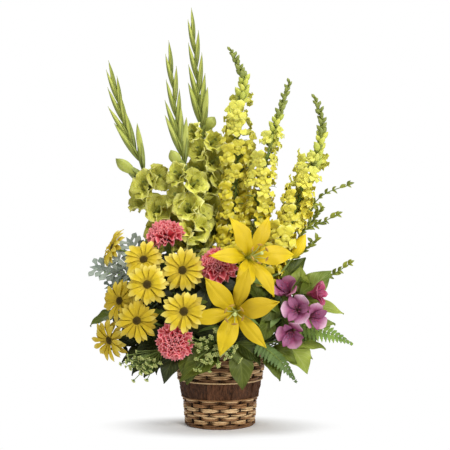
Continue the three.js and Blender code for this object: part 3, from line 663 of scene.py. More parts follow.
@dataclass(frozen=True)
class Finish:
    """A surface: its name, its main colour's code and how rough it is."""

    name: str
    main: int
    roughness: float = 0.6
    relief: float = 0.3  # how strongly its pattern stands out
    depth: float = 0.0004  # how high the pattern is, in metres
    shine: float = 0.5
    glow: float = 0.0  # how much light soaks into it

    def material(self) -> bpy.types.Material:
        """Builds the material the first time that it is asked for.

        Returns:
            The material.
        """
        known = bpy.data.materials.get(self.name)
        if known:
            return known
        made = bpy.data.materials.new(self.name)
        made.use_nodes = True
        tree = Tree(made.node_tree)
        tree.add("OutputMaterial", {0: self.surface(tree)})
        return made

    def surface(self, tree: Tree) -> Socket:
        """Puts the pattern on the surface.

        Args:
            tree: Its tree.

        Returns:
            The shader.
        """
        tone, height = self.pattern(tree)
        bump = tree.add("Bump", {"Strength": self.relief, "Distance": self.depth, "Height": height})
        skin = tree.add("BsdfPrincipled", {
            "Base Color": tone, "Roughness": self.roughness, "Normal": bump.outputs[0],
            "Specular IOR Level": self.shine, "Subsurface Weight": self.glow,
            "Subsurface Radius": (1.0, 0.8, 0.3), "Subsurface Scale": 0.003,
        })
        return skin.outputs[0]

    def pattern(self, tree: Tree) -> tuple[Socket, Socket]:
        """The surface's colour and height: darker patches on the main colour."""
        cloud = Effect.PATCHES.place(tree, Scale=60.0)
        return tree.blend(cloud, self.main, (*(c * 0.6 for c in colour(self.main)[:3]), 1.0)), cloud


@dataclass(frozen=True)
class PetalFinish(Finish):
    """A petal: from its heart along its blade to its edge, with veins."""

    shine: float = 0.3
    glow: float = 0.15
    heart: int = 0xFFFFFF  # the colour code at its foot
    edge: int = 0xFFFFFF  # and at its far edge
    other: int = 0xFFFFFF  # what its colour turns to as its tint grows
    vein: int = 0xFFFFFF
    heart_reach: float = 0.3  # the share of its length where the heart's colour ends
    edge_start: float = 0.8  # and where the edge's colour begins
    variety: float = 0.6  # how much of the other colour the highest tint gives
    veined: float = 0.3  # how clearly its veins show
    lines: float = 5.0  # the veins on each side of its midrib

    def pattern(self, tree: Tree) -> tuple[Socket, Socket]:
        """The colour runs along the petal, and differs from one to the next by its tint: random tone, and
        painted shade on shaded blooms.

        Args:
            tree: Its tree.

        Returns:
            Its colour and its height.
        """
        tone = tree.ramp(tree.uv()[1], [
            (0.0, self.heart), (self.heart_reach, self.main), (self.edge_start, self.main), (1.0, self.edge)
        ])
        tone = tree.blend(tree.math("MULTIPLY", tree.tint(), self.variety), tone, self.other)
        veins = Effect.VEINS.place(tree, Across=self.lines, Fine=4.0, Rib=24.0)
        return tree.blend(tree.math("MULTIPLY", veins, self.veined), tone, self.vein), veins


@dataclass(frozen=True)
class LeafFinish(Finish):
    """A leaf: paler veins on a deep, uneven green."""

    shine: float = 0.25
    deep: int = 0x000000  # its colour's code where it is deepest
    vein: int = 0xFFFFFF
    veins_along: float = 7.0  # the side veins from its base to its tip
    slant: float = 0.35  # how far they run towards the tip, as a share of its length
    veined: float = 0.45  # how clearly its veins show

    def pattern(self, tree: Tree) -> tuple[Socket, Socket]:
        """Side veins slant from the midrib, and each leaf's green goes by its tint: random tone, and painted
        shade where a piece sets it.

        Args:
            tree: Its tree.

        Returns:
            Its colour and its height.
        """
        cloud = Effect.PATCHES.place(tree, Scale=35.0)
        share = tree.math("MULTIPLY_ADD", cloud, 0.4, tree.math("MULTIPLY", tree.tint(), 0.6))
        tone = tree.blend(share, self.deep, self.main)
        veins = Effect.VEINS.place(tree, Along=self.veins_along, Slant=self.slant, Fine=10.0, Rib=26.0)
        tone = tree.blend(tree.math("MULTIPLY", veins, self.veined), tone, self.vein)
        return tone, tree.math("SUBTRACT", 1.0, veins)


@dataclass(frozen=True)
class FibreFinish(Finish):
    """Wicker, bark or a stem: streaks between two colours, and strands unlike each other."""

    shine: float = 0.25
    deep: int = 0x000000  # its colour's code where it is deepest
    across: float = 10.0  # how fine its streaks are
    along: float = 2.0  # how often they break off along it

    def pattern(self, tree: Tree) -> tuple[Socket, Socket]:
        """Streaks, with each strand lighter or darker by its tint.

        Args:
            tree: Its tree.

        Returns:
            Its colour and its height.
        """
        streaks = Effect.FIBRES.place(tree, Across=self.across, Along=self.along)
        share = tree.math("MULTIPLY_ADD", streaks, 0.5, tree.math("MULTIPLY", tree.tint(), 0.5))
        return tree.blend(share, self.deep, self.main), streaks


@dataclass(frozen=True)
class FloorFinish(Finish):
    """A white floor that glows like the room behind it, but for the shadow round the basket."""

    middle: Point = (0.0, -0.03, 0.0)  # the shadow's middle, in metres
    flatness: Point = (1.0, 2.0, 1.0)  # how many times narrower it is each way
    near: float = 0.075  # how far from the middle the glow begins
    far: float = 0.23  # and where it is full

    def surface(self, tree: Tree) -> Socket:
        """Goes from a plain white into the glow, away from the basket.

        Args:
            tree: Its tree.

        Returns:
            The shader.
        """
        where = tree.add("TexCoord").outputs["Object"]
        off = tree.add("VectorMath", {0: where, 1: self.middle}, operation="SUBTRACT").outputs[0]
        oval = tree.add("VectorMath", {0: off, 1: self.flatness}, operation="MULTIPLY").outputs[0]
        away = tree.add("VectorMath", {0: oval}, operation="LENGTH").outputs["Value"]
        reach = {0: away, 1: self.near, 2: self.far}
        share = tree.add("MapRange", reach, interpolation_type="SMOOTHSTEP").outputs[0]
        plain = {"Base Color": colour(self.main), "Roughness": self.roughness}
        white = tree.add("BsdfPrincipled", plain).outputs[0]
        glow = tree.add("Emission", {0: (1, 1, 1, 1), 1: 1.0}).outputs[0]
        return tree.add("MixShader", {0: share, 1: white, 2: glow}).outputs[0]


# Random tone and painted shade: the other colour is a deeper olive, which a shaded spike's florets take more
# of.
GLADIOLUS_PETAL = PetalFinish(
    "gladiolus_petal", 0xD6D452, 0.55, heart=0x8E9630, edge=0xE8E698, other=0x989632, vein=0xE2E29C,
    variety=0.95, veined=0.25, lines=4.0, glow=0.2,
)
GLADIOLUS_BUD = PetalFinish(
    "gladiolus_bud", 0xA2AA4A, 0.5, heart=0x78823A, edge=0x6C7632, other=0xB2B65C, vein=0xC2C67C,
    lines=3.0,
)
GLADIOLUS_BRACT = PetalFinish(
    "gladiolus_bract", 0x76803A, 0.45, heart=0x525E24, edge=0x9AA052, other=0x929A4A, vein=0xA2A860,
    veined=0.18, lines=3.0,
)
SNAPDRAGON_PETAL = PetalFinish(
    "snapdragon_petal", 0xE2CE2A, 0.6, heart=0xBEB63C, edge=0xEEE49A, other=0xCACC62, vein=0xD4BC1A,
    variety=0.95, veined=0.25, lines=3.0, glow=0.2,
)
SNAPDRAGON_BUD = PetalFinish(
    "snapdragon_bud", 0xC4C552, 0.55, heart=0x8FA03E, edge=0xDAD66A, other=0x93A642, vein=0xD8D67E,
    lines=2.0,
)
# Painted shade: the other colour is a shaded mustard, which each lily tepal takes by its shade.
LILY_PETAL = PetalFinish(
    "lily_petal", 0xCEB206, 0.5, relief=0.5, heart=0x8E9A26, edge=0xECD41C, other=0xB2920E, vein=0xC6A606,
    heart_reach=0.22, variety=0.8, veined=0.35, lines=6.0, glow=0.0,
)
LILY_ANTHER = Finish("lily_anther", 0xB88E3A, 0.8)
LILY_PISTIL = Finish("lily_pistil", 0xC6CF7A, 0.5)
LILY_BUD_SKIN = PetalFinish(
    "lily_bud_skin", 0xE8C81A, 0.5, heart=0x8E9E36, edge=0xF0D022, other=0xE4C614, vein=0xB4A82C,
    veined=0.4, lines=2.0, glow=0.06,
)
CARNATION_PETAL = PetalFinish(
    "carnation_petal", 0xDC3C50, 0.7, heart=0x8E0A1C, edge=0xF6A4A6, other=0xF29CA0, vein=0xD03844,
    heart_reach=0.76, edge_start=0.9, variety=0.65, veined=0.25, lines=7.0,
)
# Random tone and painted shade: the other colour is a deeper mustard, for shaded blooms and for the lower
# whorl.
DAISY_RAY = PetalFinish(
    "daisy_ray", 0xD2B61A, 0.6, heart=0x7E6812, edge=0xF0E27A, other=0xB4960E, vein=0xC0A210,
    heart_reach=0.36, edge_start=0.62, variety=0.9, lines=2.0, glow=0.1,
)
DAISY_DISC = PetalFinish(
    "daisy_disc", 0x46340F, 0.9, heart=0x2A1C08, edge=0x665414, other=0x86741E, vein=0x5A4616,
    variety=0.8, lines=0.0, veined=0.1,
)
ALSTROEMERIA_OUTER = PetalFinish(
    "alstroemeria_outer", 0xA86088, 0.5, heart=0x7A2448, edge=0xE8CEDE, other=0x983A62, vein=0x903C66,
    heart_reach=0.5, edge_start=0.6, variety=0.7, glow=0.08,
)
ALSTROEMERIA_INNER = PetalFinish(
    "alstroemeria_inner", 0xA86A8C, 0.5, heart=0xB08E56, edge=0x8A3A60, other=0x944A74, vein=0x5A1D36,
    heart_reach=0.45, veined=0.6, lines=6.0, glow=0.1,
)
ALSTROEMERIA_DARK = PetalFinish(
    "alstroemeria_dark", 0xB0446A, 0.5, heart=0x7B6A3C, edge=0xD48AA2, other=0x92234C, vein=0x5E1230,
    veined=0.4, glow=0.1,
)
STEM_GREEN = FibreFinish("stem_green", 0x7E8E42, 0.5, deep=0x4E5E24, across=6.0, along=9.0)
SPIKE_GREEN = FibreFinish("spike_green", 0x8DA34C, 0.5, deep=0x5B7430, across=6.0, along=9.0)
SALAL_LEAF = LeafFinish("salal_leaf", 0x66741C, 0.5, relief=0.5, deep=0x2A3810, vein=0x949C4C)
# Painted shade: a near-black green for the leaves on the left and in the middle, away from the key light.
PAINTED_SHADE_LEAF = LeafFinish("painted_shade_leaf", 0x3C4618, 0.55, relief=0.5, deep=0x141A07, vein=0x626A30)
# Painted shade: a salal green darkened for the low front leaves, which lie in shadow.
SHADED_LOW_LEAF = LeafFinish("shaded_low_leaf", 0x545D12, 0.5, relief=0.5, deep=0x263206, vein=0x7C863A)
# Partly painted light: a paler green over the leaves' own yellow-green, for the leaves on the lit right side.
FOLD_LEAF = LeafFinish("fold_leaf", 0x98A440, 0.5, relief=0.5, deep=0x5C7230, vein=0xB8BE7A)
STEM_LEAF = LeafFinish(
    "stem_leaf", 0x6B8A3A, 0.45, deep=0x3A5722, vein=0x9DB266, veins_along=0.0, veined=0.3,
)
FERN_LEAF = LeafFinish("fern_leaf", 0x86A040, 0.6, deep=0x50702A, vein=0xA6B86A, veins_along=5.0)
DARK_FERN = LeafFinish("dark_fern", 0x5E743A, 0.6, deep=0x344A20, vein=0x869A62, veins_along=5.0)
SPRIG_LEAF = LeafFinish("sprig_leaf", 0xA2A83E, 0.5, deep=0x54621F, vein=0xC2C676)
UMBEL_HEAD = PetalFinish(
    "umbel_head", 0xB2BC58, 0.6, heart=0x7C8C36, edge=0xDCE094, other=0xD2D67A, vein=0xDADD9E, lines=1.0,
)
SILVER_FELT = LeafFinish(
    "silver_felt", 0xB8C0B0, 0.9, relief=0.6, deep=0x6C7A6E, vein=0xDCE0D6, veins_along=5.0, veined=0.3,
)
LIGHT_REED = FibreFinish("light_reed", 0xE2C292, 0.42, relief=0.6, deep=0x8E6236, across=3.0, along=60.0)
BROWN_REED = FibreFinish("brown_reed", 0x9E7248, 0.45, relief=0.6, deep=0x4A2E1A, across=3.0, along=60.0)
# Painted shade: a near-black reed for the stakes and the wall behind the weave, standing for the shade in its
# dips and gaps.
PAINTED_SHADE_REED = FibreFinish("painted_shade_reed", 0x40281A, 0.8, relief=0.5, deep=0x1C110A, across=3.0, along=20.0)
DARK_BRAID = FibreFinish("dark_braid", 0xA07A56, 0.5, relief=0.5, deep=0x4A3222, across=4.0, along=90.0)
BARK_CHIP = FibreFinish(
    "bark_chip", 0x70462A, 0.75, relief=1.0, depth=0.0015, deep=0x1E120A, across=16.0, along=3.0,
)
POT_PLASTIC = Finish("pot_plastic", 0x2F3D2C, 0.5)
FLOOR_WHITE = FloorFinish("floor_white", 0xF8F8F8, 0.9)
WET_FOAM = Finish("wet_foam", 0x3F6A3C, 0.95, relief=0.8, depth=0.001)


# ---- shapes that several flowers share
def spun(turn: float, up: float = 0.0) -> Matrix:
    """A turn about +Z, with a move along it."""
    return moved(0, 0, up) @ Matrix.Rotation(turn, 4, "Z")


def sized(share: float) -> Matrix:
    """A change of size."""
    return Matrix.Scale(share, 4)


def flared(plain: float, flare: float, neck: float, power: float) -> Callable[[float], float]:
    """The radius of a stem that is plain up to its neck, then widens into the cup of its flower."""
    return lambda t: mix(plain, flare, (max(0.0, t - neck) / (1 - neck)) ** power)


def spindle(length: float, width: float, peak: float = 0.42, lobes: int = 3, lobe: float = 0.06) -> Mesh:
    """A closed bud along +Z, from the origin to a point.

    Args:
        length: Its length.
        width: Its greatest width.
        peak: Where that is, as a share of its length.
        lobes: The furled petals that show round it.
        lobe: How far they stand out.

    Returns:
        The mesh.
    """

    def spot(across: float, t: float) -> Vector:
        """A point of its skin, whose lobes wind round it a little."""
        turn = across * tau
        radius = width / 2 * outline(t, peak, 0.12) * (1 + lobe * cos(lobes * turn + 3 * t))
        return around(turn, radius, t * length)

    return rolled(spot, 10, 12)


def sheath(
    length: float, width: float, wrap: float, thick: float = 0.8, columns: int = 6, rows: int = 10
) -> Mesh:
    """A pointed bract rolled part of the way round +Z, on its +X side.

    Args:
        length: Its length.
        width: The greatest width of what it wraps.
        wrap: The angle it goes round, in radians.
        thick: Its thickness.
        columns: Squares across it.
        rows: Squares along it.

    Returns:
        The mesh.
    """

    def spot(across: float, t: float) -> Vector:
        """A point of it, narrower towards its tip."""
        turn = (across - 0.5) * wrap * (1 - 0.6 * t**2)
        radius = width / 2 * outline(mix(0.05, 1, t), 0.42, 0.3)
        return around(turn, radius, t * length)

    return thin(spot, columns, rows, thick)


@dataclass(frozen=True)
class Tepal(Sheet):
    """A petal of a trumpet: it leaves the flower's axis towards +X and opens outward along a curve."""

    curve: Sequence[Pair]  # its distance from the axis and its height, from foot to tip
    width: float
    peak: float = 0.66
    root: float = 0.2
    cup: float = 0.1  # how far its sides rise
    ruffle: float = 0.0
    waves: float = 2.5
    phase: float = 0.0
    groove: float = 0.0

    @cached_property
    def way(self) -> Way:
        """The line of its midrib."""
        return Way([(reach, 0, height) for reach, height in self.curve])

    def spot(self, across: float, t: float) -> Vector:
        """Where a point of the petal lies.

        Args:
            across: Its share across.
            t: Its share along.

        Returns:
            The point.
        """
        s = across * 2 - 1
        half = self.width / 2 * outline(t, self.peak, self.root)
        ahead = self.way.along(t)
        wave = sin(tau * self.waves * t + self.phase + (1.2 if s > 0 else 0))
        lift = self.cup * s * s * half + self.ruffle * abs(s) ** 1.5 * wave * min(1.0, 2 * t)
        lift -= self.groove * exp(-((s / 0.15) ** 2))
        return self.way.at(t) + Vector((0, s * half, 0)) + Vector((-ahead.z, 0, ahead.x)) * lift


@dataclass(frozen=True)
class Fan(Sheet):
    """A fan-shaped petal that spreads from its foot to a toothed and ruffled edge."""

    base: Sequence[float]
    tip: Sequence[float]
    spread: float  # half the angle that it opens to, in radians
    ruffle: float
    waves: float
    phase: float
    curl: float = 0.0
    teeth: int = 7

    def spot(self, across: float, t: float) -> Vector:
        """Where a point of the petal lies.

        Args:
            across: Its share across.
            t: Its share along.

        Returns:
            The point.
        """
        start, chord = Vector(self.base), Vector(self.tip) - Vector(self.base)
        side, rise = sides(chord, UPWARD)
        s = across * 2 - 1
        tooth = 0.05 * cos(tau * self.teeth * across) * t**3
        reach = t * chord.length * (1 - 0.14 * s * s + tooth)
        turn = s * self.spread
        lift = self.ruffle * t**2 * sin(pi * self.waves * s + self.phase) - self.curl * t**3
        return start + (chord.normalized() * cos(turn) + side * sin(turn)) * reach + rise * lift


# ---- flowers
@dataclass
class Gladiolus:
    """A gladiolus spike: ruffled florets open low on its stem, with sheathed buds above them."""

    name: str
    way: Points
    florets: Sequence[tuple[float, float, float, float]]  # place along the stem, side, turn, radius
    opening: Sequence[tuple[float, Point, float]]  # half-open buds: place, facing and length share
    top: float  # where the lowest bud stands
    buds: int
    shade: float = 0.0  # painted shade: the least darkening of its florets towards the deeper olive, for a spike in shade
    stem: Pair = (3.6, 1.8)  # its radius at its foot and its tip
    depth: float = 31  # from a floret's face back to the stem
    bud_lengths: Pair = (58, 84)  # of the highest and the lowest bud
    bud_widths: Pair = (7.6, 11.6)
    half_open_girth: float = 1.55  # how many times wider a half-open bud is
    draw: Random = field(default_factory=lambda: Random(11))

    def floret(self, bench: Bench, place: Matrix, radius: float) -> None:
        """Adds an open floret: two whorls of ruffled tepals, its stamens and the bracts behind it.

        Args:
            bench: Its bench.
            place: Takes it to its place.
            radius: Its radius.
        """
        r, d, draw = radius, self.depth, self.draw
        for i in range(6):
            inner = i % 2
            far = (1.24 - 0.1 * inner) * draw.uniform(0.86, 1.12)
            rise = draw.uniform(-4, 4)
            curve = [(1.5, -d), (0.24 * r, -0.66 * d), (0.48 * r, -0.32 * d), (0.7 * far * r, -0.04 * d),
                     (far * r, rise + 3 * inner)]
            tepal = Tepal(curve, width=r * (1.34 - 0.12 * inner), peak=0.7, root=0.22, cup=0.1 + 0.08 * inner,
                          ruffle=4.6, waves=2.6, phase=draw.random() * 6, groove=1.4)
            turn = spun(i * pi / 3 + draw.uniform(-0.08, 0.08), 1.2 * inner)
            # The tint is random tone, never below the spike's painted shade.
            bench.once(tepal.mesh(10, 12, 0.8), GLADIOLUS_PETAL, place @ turn, draw.uniform(self.shade, 1))
        filament = Way([(0, 0, -0.8 * d), (3, 0, -0.3 * d), (5, 0, 1)])
        for i in range(3):
            turn = place @ spun((i - 1) * 0.5 + 1.2)
            bench.stem(filament, (0.7, 0.7), 5, 5, GLADIOLUS_BUD, turn)
            bench.once(spindle(9, 2.6, 0.5), GLADIOLUS_BRACT, turn @ moved(4.6, 0, -3))
        for side in (0, pi):
            bench.once(sheath(34, 11, 2.6), GLADIOLUS_BRACT, place @ spun(side, -d - 3), draw.random())

    def bud(self, bench: Bench, place: Matrix, low: float, opening: float) -> None:
        """Adds a bud in its two green bracts.

        Args:
            bench: Its bench.
            place: Takes it to its place.
            low: How low it stands, from 0 to 1, and so how long it is.
            opening: How far it has opened, from 0 to 1.
        """
        length, width = mix(*self.bud_lengths, low), mix(*self.bud_widths, low)
        furled = spindle(length, width * mix(0.8, 1.15, opening), mix(0.45, 0.72, opening), 3, 0.14)
        front = sheath(length * mix(1.02, 0.8, opening), width * 1.08, 3.0)
        back = sheath(length * 0.78, width * 1.14, 2.4)
        bench.once(furled, GLADIOLUS_BUD, place, self.draw.random())
        bench.once(front, GLADIOLUS_BRACT, place, self.draw.random())
        bench.once(back, GLADIOLUS_BRACT, place @ spun(pi), self.draw.random())

    def build(self) -> None:
        """Builds the spike."""
        bench = Bench()
        spine = Way.rooted(self.way)
        bench.stem(spine, self.stem, 10, 40, SPIKE_GREEN)
        for t, side, turn, radius in self.florets:
            facing = (side * 0.75, -0.8 + turn * 0.3, 0.35)
            at = behind(spine.at(t), facing, 1 - self.depth)
            self.floret(bench, posed(at, facing, turn), radius)
        for i in range(self.buds):
            low = i / (self.buds - 1)
            t = mix(0.97, self.top, low)
            side = 1 if i % 2 == 0 else -1
            along = spine.along(t)
            lean = mix(0.12, 0.23, low)
            facing = along if i == 0 else Vector((along.x + side * lean, along.y - 0.1, along.z))
            place = posed(spine.at(t), facing, 0 if side > 0 else pi)
            self.bud(bench, place, low, max(0.0, low - 0.6))
        for t, facing, long in self.opening:
            stretch = Matrix.Diagonal((self.half_open_girth, self.half_open_girth, long, 1))
            self.bud(bench, posed(spine.at(t), facing) @ stretch, 1.0, 1.0)
        bench.finish(f"{self.name}_spike", Slot.GLADIOLUS, self.name)


@dataclass
class Snapdragon:
    """A snapdragon spike: two-lipped florets all round its stem, and buds up to its tip."""

    name: str
    way: Points
    seed: int
    top: float  # the share of the stem where the last floret is open
    florets: int = 66
    buds: int = 34
    leaves: int = 14
    sizes: Pair = (34, 27)  # how wide the lowest and the highest florets are
    drawn_width: float = 27  # how wide a floret is as lips() draws it
    bud_sizes: Pair = (22, 10)  # how long the lowest and the highest buds are
    bare: float = 0.44  # a floret is left out where noise passes this value
    thinning: float = 0.56  # how far that value falls up to the highest florets
    stem: Pair = (2.8, 1.2)  # its radius at its foot and its tip

    def lips(self) -> list[Mesh]:
        """Shapes a floret that faces +Z, with its upper lip towards +Y.

        Returns:
            Its tube, then its throat bulges and its lobes.
        """
        shapes = [turned([(0, 0), (3.4, 1), (4.6, 7), (5.6, 14), (5.2, 19), (0, 20)], 8)]
        for side in (-1, 1):
            throat = ball(3.9)
            throat.transform(Matrix.Diagonal((1, 0.95, 0.9, 1)))
            throat.transform(moved(side * 2.7, -2.4, 19.5))
            upper = Blade((side * 2.4, 2.5, 16), (side * 6.5, 15, 24.5), (0, -0.5, 1), 15, peak=0.68,
                          root=0.5, ruffle=2.2, waves=1.6, phase=side, curl=3, arch=1.5)
            lower = Blade((side * 4.5, -2, 17), (side * 12, -9.5, 21.5), (0, 0.5, 1), 12.5, peak=0.66,
                          root=0.5, ruffle=1.6, waves=1.4, phase=side + 2, curl=4, arch=2)
            shapes += [throat, upper.mesh(5, 6, 0.7), lower.mesh(5, 6, 0.7)]
        middle = Blade((0, -4, 17.5), (0, -13.5, 20), (0, 0.5, 1), 12.5, peak=0.66, root=0.5,
                       ruffle=1.4, waves=1.4, curl=4, arch=2)
        return [*shapes, middle.mesh(5, 6, 0.7)]

    def build(self) -> None:
        """Builds the spike: its stem, its open florets, its buds and its leaves."""
        draw = Random(self.seed)
        bench = Bench()
        spine = Way.rooted(self.way)
        bench.stem(spine, self.stem, 8, 40, SPIKE_GREEN)
        lips = self.lips()
        calyx = sheath(9, 9, 1.4, 0.6, 3, 4)
        stalk = tube(Way([(0, 0, -8), (0, 0, 2)]), lambda t: 1.1, 5, 2)
        for i, t in enumerate(spine.even(0.3, self.top, self.florets)):
            share = i / (self.florets - 1)
            turn = i * SPIRAL + draw.uniform(-0.4, 0.4)
            clump = noise.noise(Vector((share * 8, cos(turn), sin(turn) + self.seed)))
            if clump > self.bare - self.thinning * share**5:
                continue
            facing = around(turn, 1, draw.uniform(0, 0.7)).normalized()
            size = mix(*self.sizes, share) / self.drawn_width * draw.uniform(0.78, 1.16)
            place = upright(spine.at(t) + facing * draw.uniform(0, 5 + 5 * share), facing) @ sized(size)
            tint = min(1.0, share**2 + draw.uniform(0, 0.6) ** 2)
            for shape in lips:
                bench.add(shape, SNAPDRAGON_PETAL, place, tint)
            bench.add(stalk, GLADIOLUS_BRACT, place)
            for k in range(4):
                bench.add(calyx, GLADIOLUS_BRACT, place @ spun(k * pi / 2, 0.5), draw.random())
        bud = spindle(1, 0.5, 0.52, 2, 0.12)
        for i, t in enumerate(spine.even(self.top - 0.04, 0.995, self.buds)):
            share = i / (self.buds - 1)
            turn = i * SPIRAL
            facing = around(turn, 1, 0.4) + spine.along(t) * 0.8
            size = mix(*self.bud_sizes, share) * draw.uniform(0.8, 1.15)
            place = posed(spine.at(t), facing, turn) @ sized(size)
            look = SNAPDRAGON_BUD if share < 0.45 else GLADIOLUS_BRACT
            bench.add(bud, look, place, draw.random())
            for k in range(3):
                bench.add(calyx, GLADIOLUS_BRACT, place @ sized(1 / 17) @ spun(k * 2.1), draw.random())
        for i in range(self.leaves):
            share = i / (self.leaves - 1)
            root = spine.at(mix(0.2, 0.6, share))
            tip = root + around(i * SPIRAL + 1, mix(40, 24, share), draw.uniform(10, 26))
            leaf = Blade(root, tip, (0, 0, 1), 11, peak=0.45, root=0.1, arch=6, fold=0.2)
            bench.once(leaf.mesh(4, 10, 0.6), STEM_LEAF, tint=draw.random() * 0.5)
        for shape in [*lips, stalk, calyx, bud]:
            bpy.data.meshes.remove(shape)
        bench.finish(f"{self.name}_spike", Slot.SNAPDRAGON, self.name)


@dataclass(frozen=True)
class LilyBud:
    """The lily's closed bud, on a branch of the upper stem."""

    at: Point = (126, -26, 292)
    via: Point = (96, -44, 262)
    facing: Point = (0.45, -0.25, 0.85)
    fork: float = 0.62  # the share of the stem where its branch leaves
    length: float = 46
    width: float = 22

    def build(self) -> None:
        """Builds the bud, with its furled tepals just parting at the tip."""
        bench = Bench()
        place = posed(self.at, self.facing)
        bench.once(spindle(self.length, self.width, 0.5, 3, 0.1), LILY_BUD_SKIN, place)
        for i in range(3):
            furl = sheath(self.length * 1.02, self.width * 1.03, 1.7, 1.0)
            bench.once(furl, LILY_BUD_SKIN, place @ spun(i * tau / 3 + 0.5), 0.3 * i)
        bench.finish("lily_bud_furled", Slot.LILY, "lily_bud")


@dataclass
class Lily:
    """An open lily on its leafy stem: six rolled-back tepals, six stamens and a pistil."""

    name: str
    at: Point
    facing: Point
    spin: float
    way: Points
    leaves: Sequence[tuple[float, Point]]
    shade: Sequence[float]  # painted shade: how far each tepal's yellow is darkened towards a shaded mustard
    seed: int
    radius: float = 70
    heart: float = 48  # the radius that other leaves keep off
    depth: float = 34  # from its face back to its stem
    stem: Pair = (3.0, 2.4)  # its radius at its foot and its top
    bud: LilyBud | None = None  # the bud that its stem carries

    def bloom(self) -> None:
        """Builds the flower."""
        draw = Random(self.seed)
        bench = Bench()
        place = posed(self.at, self.facing, self.spin)
        for i in range(6):
            broad = i % 2 == 0
            tepal = Blade(
                base=(2, 0, -self.depth), tip=(self.radius * (0.95 if broad else 1.0), 0, 4 if broad else 0),
                face=(0, 0, 1), width=self.radius * (0.48 if broad else 0.37), peak=0.57,
                root=0.14, arch=13 if broad else 10, fold=-0.12 if broad else -0.2, curl=14,
                ruffle=3.0 if broad else 1.6, waves=2.0, phase=draw.random() * 6, groove=1.8,
            )
            turn = spun(i * pi / 3 + draw.uniform(-0.05, 0.05), 1 if broad else -1.4)
            # Each tepal's tint is its painted shade.
            bench.once(tepal.mesh(14, 22, 1.1), LILY_PETAL, place @ turn, self.shade[i])
        filament = Way([(1, 0, -self.depth * 0.9), (4, 0, -12), (9, 0, 4), (15, 0, 13)])
        for i in range(6):
            turn = place @ spun((i + 0.5) * pi / 3 + draw.uniform(-0.15, 0.15))
            bench.stem(filament, (1.0, 0.6), 6, 8, LILY_PISTIL, turn)
            anther = turn @ moved(15, -5.5, 13.6) @ Matrix.Rotation(-pi / 2, 4, "X")
            bench.once(spindle(11, 3.4, 0.5, 2, 0.2), LILY_ANTHER, anther)
        style = Way([(0, 0, -self.depth - 1), (0.5, 0, -10), (1.5, 0.5, 17)])
        bench.stem(style, (2.2, 1.3), 8, 8, LILY_PISTIL, place)
        knob = [(0, 15.5), (2.4, 16.5), (3.2, 18.5), (2, 20), (0, 19.5)]
        bench.once(turned(knob, 9), LILY_PISTIL, place @ moved(1.5, 0.5, 0))
        bench.finish(f"lily_{self.name}_petals", Slot.LILY, f"lily_bloom_{self.name}")

    def stalk(self) -> None:
        """Builds the stem with its leaves."""
        draw = Random(self.seed + 1)
        bench = Bench()
        ends = [behind(self.at, self.facing, self.depth + far) for far in (22, 3)]
        spine = Way.rooted([*self.way, *ends])
        bench.stem(spine, self.stem, 10, 30)
        for t, tip in self.leaves:
            leaf = Blade(spine.at(t), tip, (0, -0.4, 0.9), 15, peak=0.45, arch=8, fold=0.12, curl=2)
            bench.once(leaf.mesh(6, 16, 0.7), STEM_LEAF, tint=draw.random())
        if self.bud:
            bench.stem(Way([spine.at(self.bud.fork), self.bud.via, self.bud.at]), (2.2, 2.0), 8, 14)
        bench.finish(f"lily_{self.name}_stalk", Slot.STEM, f"lily_stem_{self.name}")

    def build(self) -> None:
        """Builds the flower, then its stem."""
        self.bloom()
        self.stalk()


@dataclass
class Carnation:
    """A carnation: rings of fringed fans, its calyx and its stem."""

    number: int
    at: Point
    facing: Point
    radius: float
    way: Points
    foot: float = 0.62  # from its outer petals back to its foot, as a share of its radius
    # each ring: its petals' reach and height as shares of the radius, how many, and their spread
    rings: Sequence[tuple[float, float, int, float]] = (
        (1.04, 0.0, 7, 0.55), (0.9, 0.24, 7, 0.52), (0.7, 0.42, 6, 0.52), (0.48, 0.54, 6, 0.5),
        (0.27, 0.6, 5, 0.5), (0.1, 0.62, 4, 0.5),
    )

    def build(self) -> None:
        """Builds the flower, then its stem and calyx."""
        draw = Random(40 + self.number)
        bench = Bench()
        r = self.radius
        place = posed(self.at, self.facing, self.number)
        for ring, (reach, height, count, spread) in enumerate(self.rings):
            for i in range(count):
                far = reach + draw.uniform(-0.05, 0.05)
                petal = Fan((0, 0, -0.5 * r), (far * r, 0, (height + draw.uniform(-0.05, 0.07)) * r), spread,
                            ruffle=r * draw.uniform(0.12, 0.2), waves=draw.uniform(1.8, 2.8),
                            phase=draw.random() * 6, curl=r * (0.1 if ring < 2 else -0.02))
                turn = (i + 0.5 * (ring % 2)) / count * tau + draw.uniform(-0.15, 0.15)
                tint = draw.uniform(0.2, 1) * (0.9 - 0.16 * ring)
                bench.once(petal.mesh(14, 7, 0.5), CARNATION_PETAL, place @ spun(turn), tint)
        bench.finish(f"carnation_{self.number}_petals", Slot.CARNATION, f"carnation_bloom_{self.number}")
        bench = Bench()
        foot = r * self.foot
        spine = Way.rooted([*self.way, *(behind(self.at, self.facing, foot + far) for far in (28, 2))])
        neck = 1 - 1 / (len(spine.points) - 1)  # the calyx takes up the last span
        bench.once(tube(spine, flared(2.2, 7.2, neck, 0.7), 10, 36), STEM_GREEN)
        for i in range(5):
            place = posed(behind(self.at, self.facing, foot + 8), self.facing, i * tau / 5)
            bench.once(sheath(24, 15, 1.5), STEM_GREEN, place, draw.random())
        bench.finish(f"carnation_{self.number}_stem", Slot.STEM, f"carnation_stem_{self.number}")


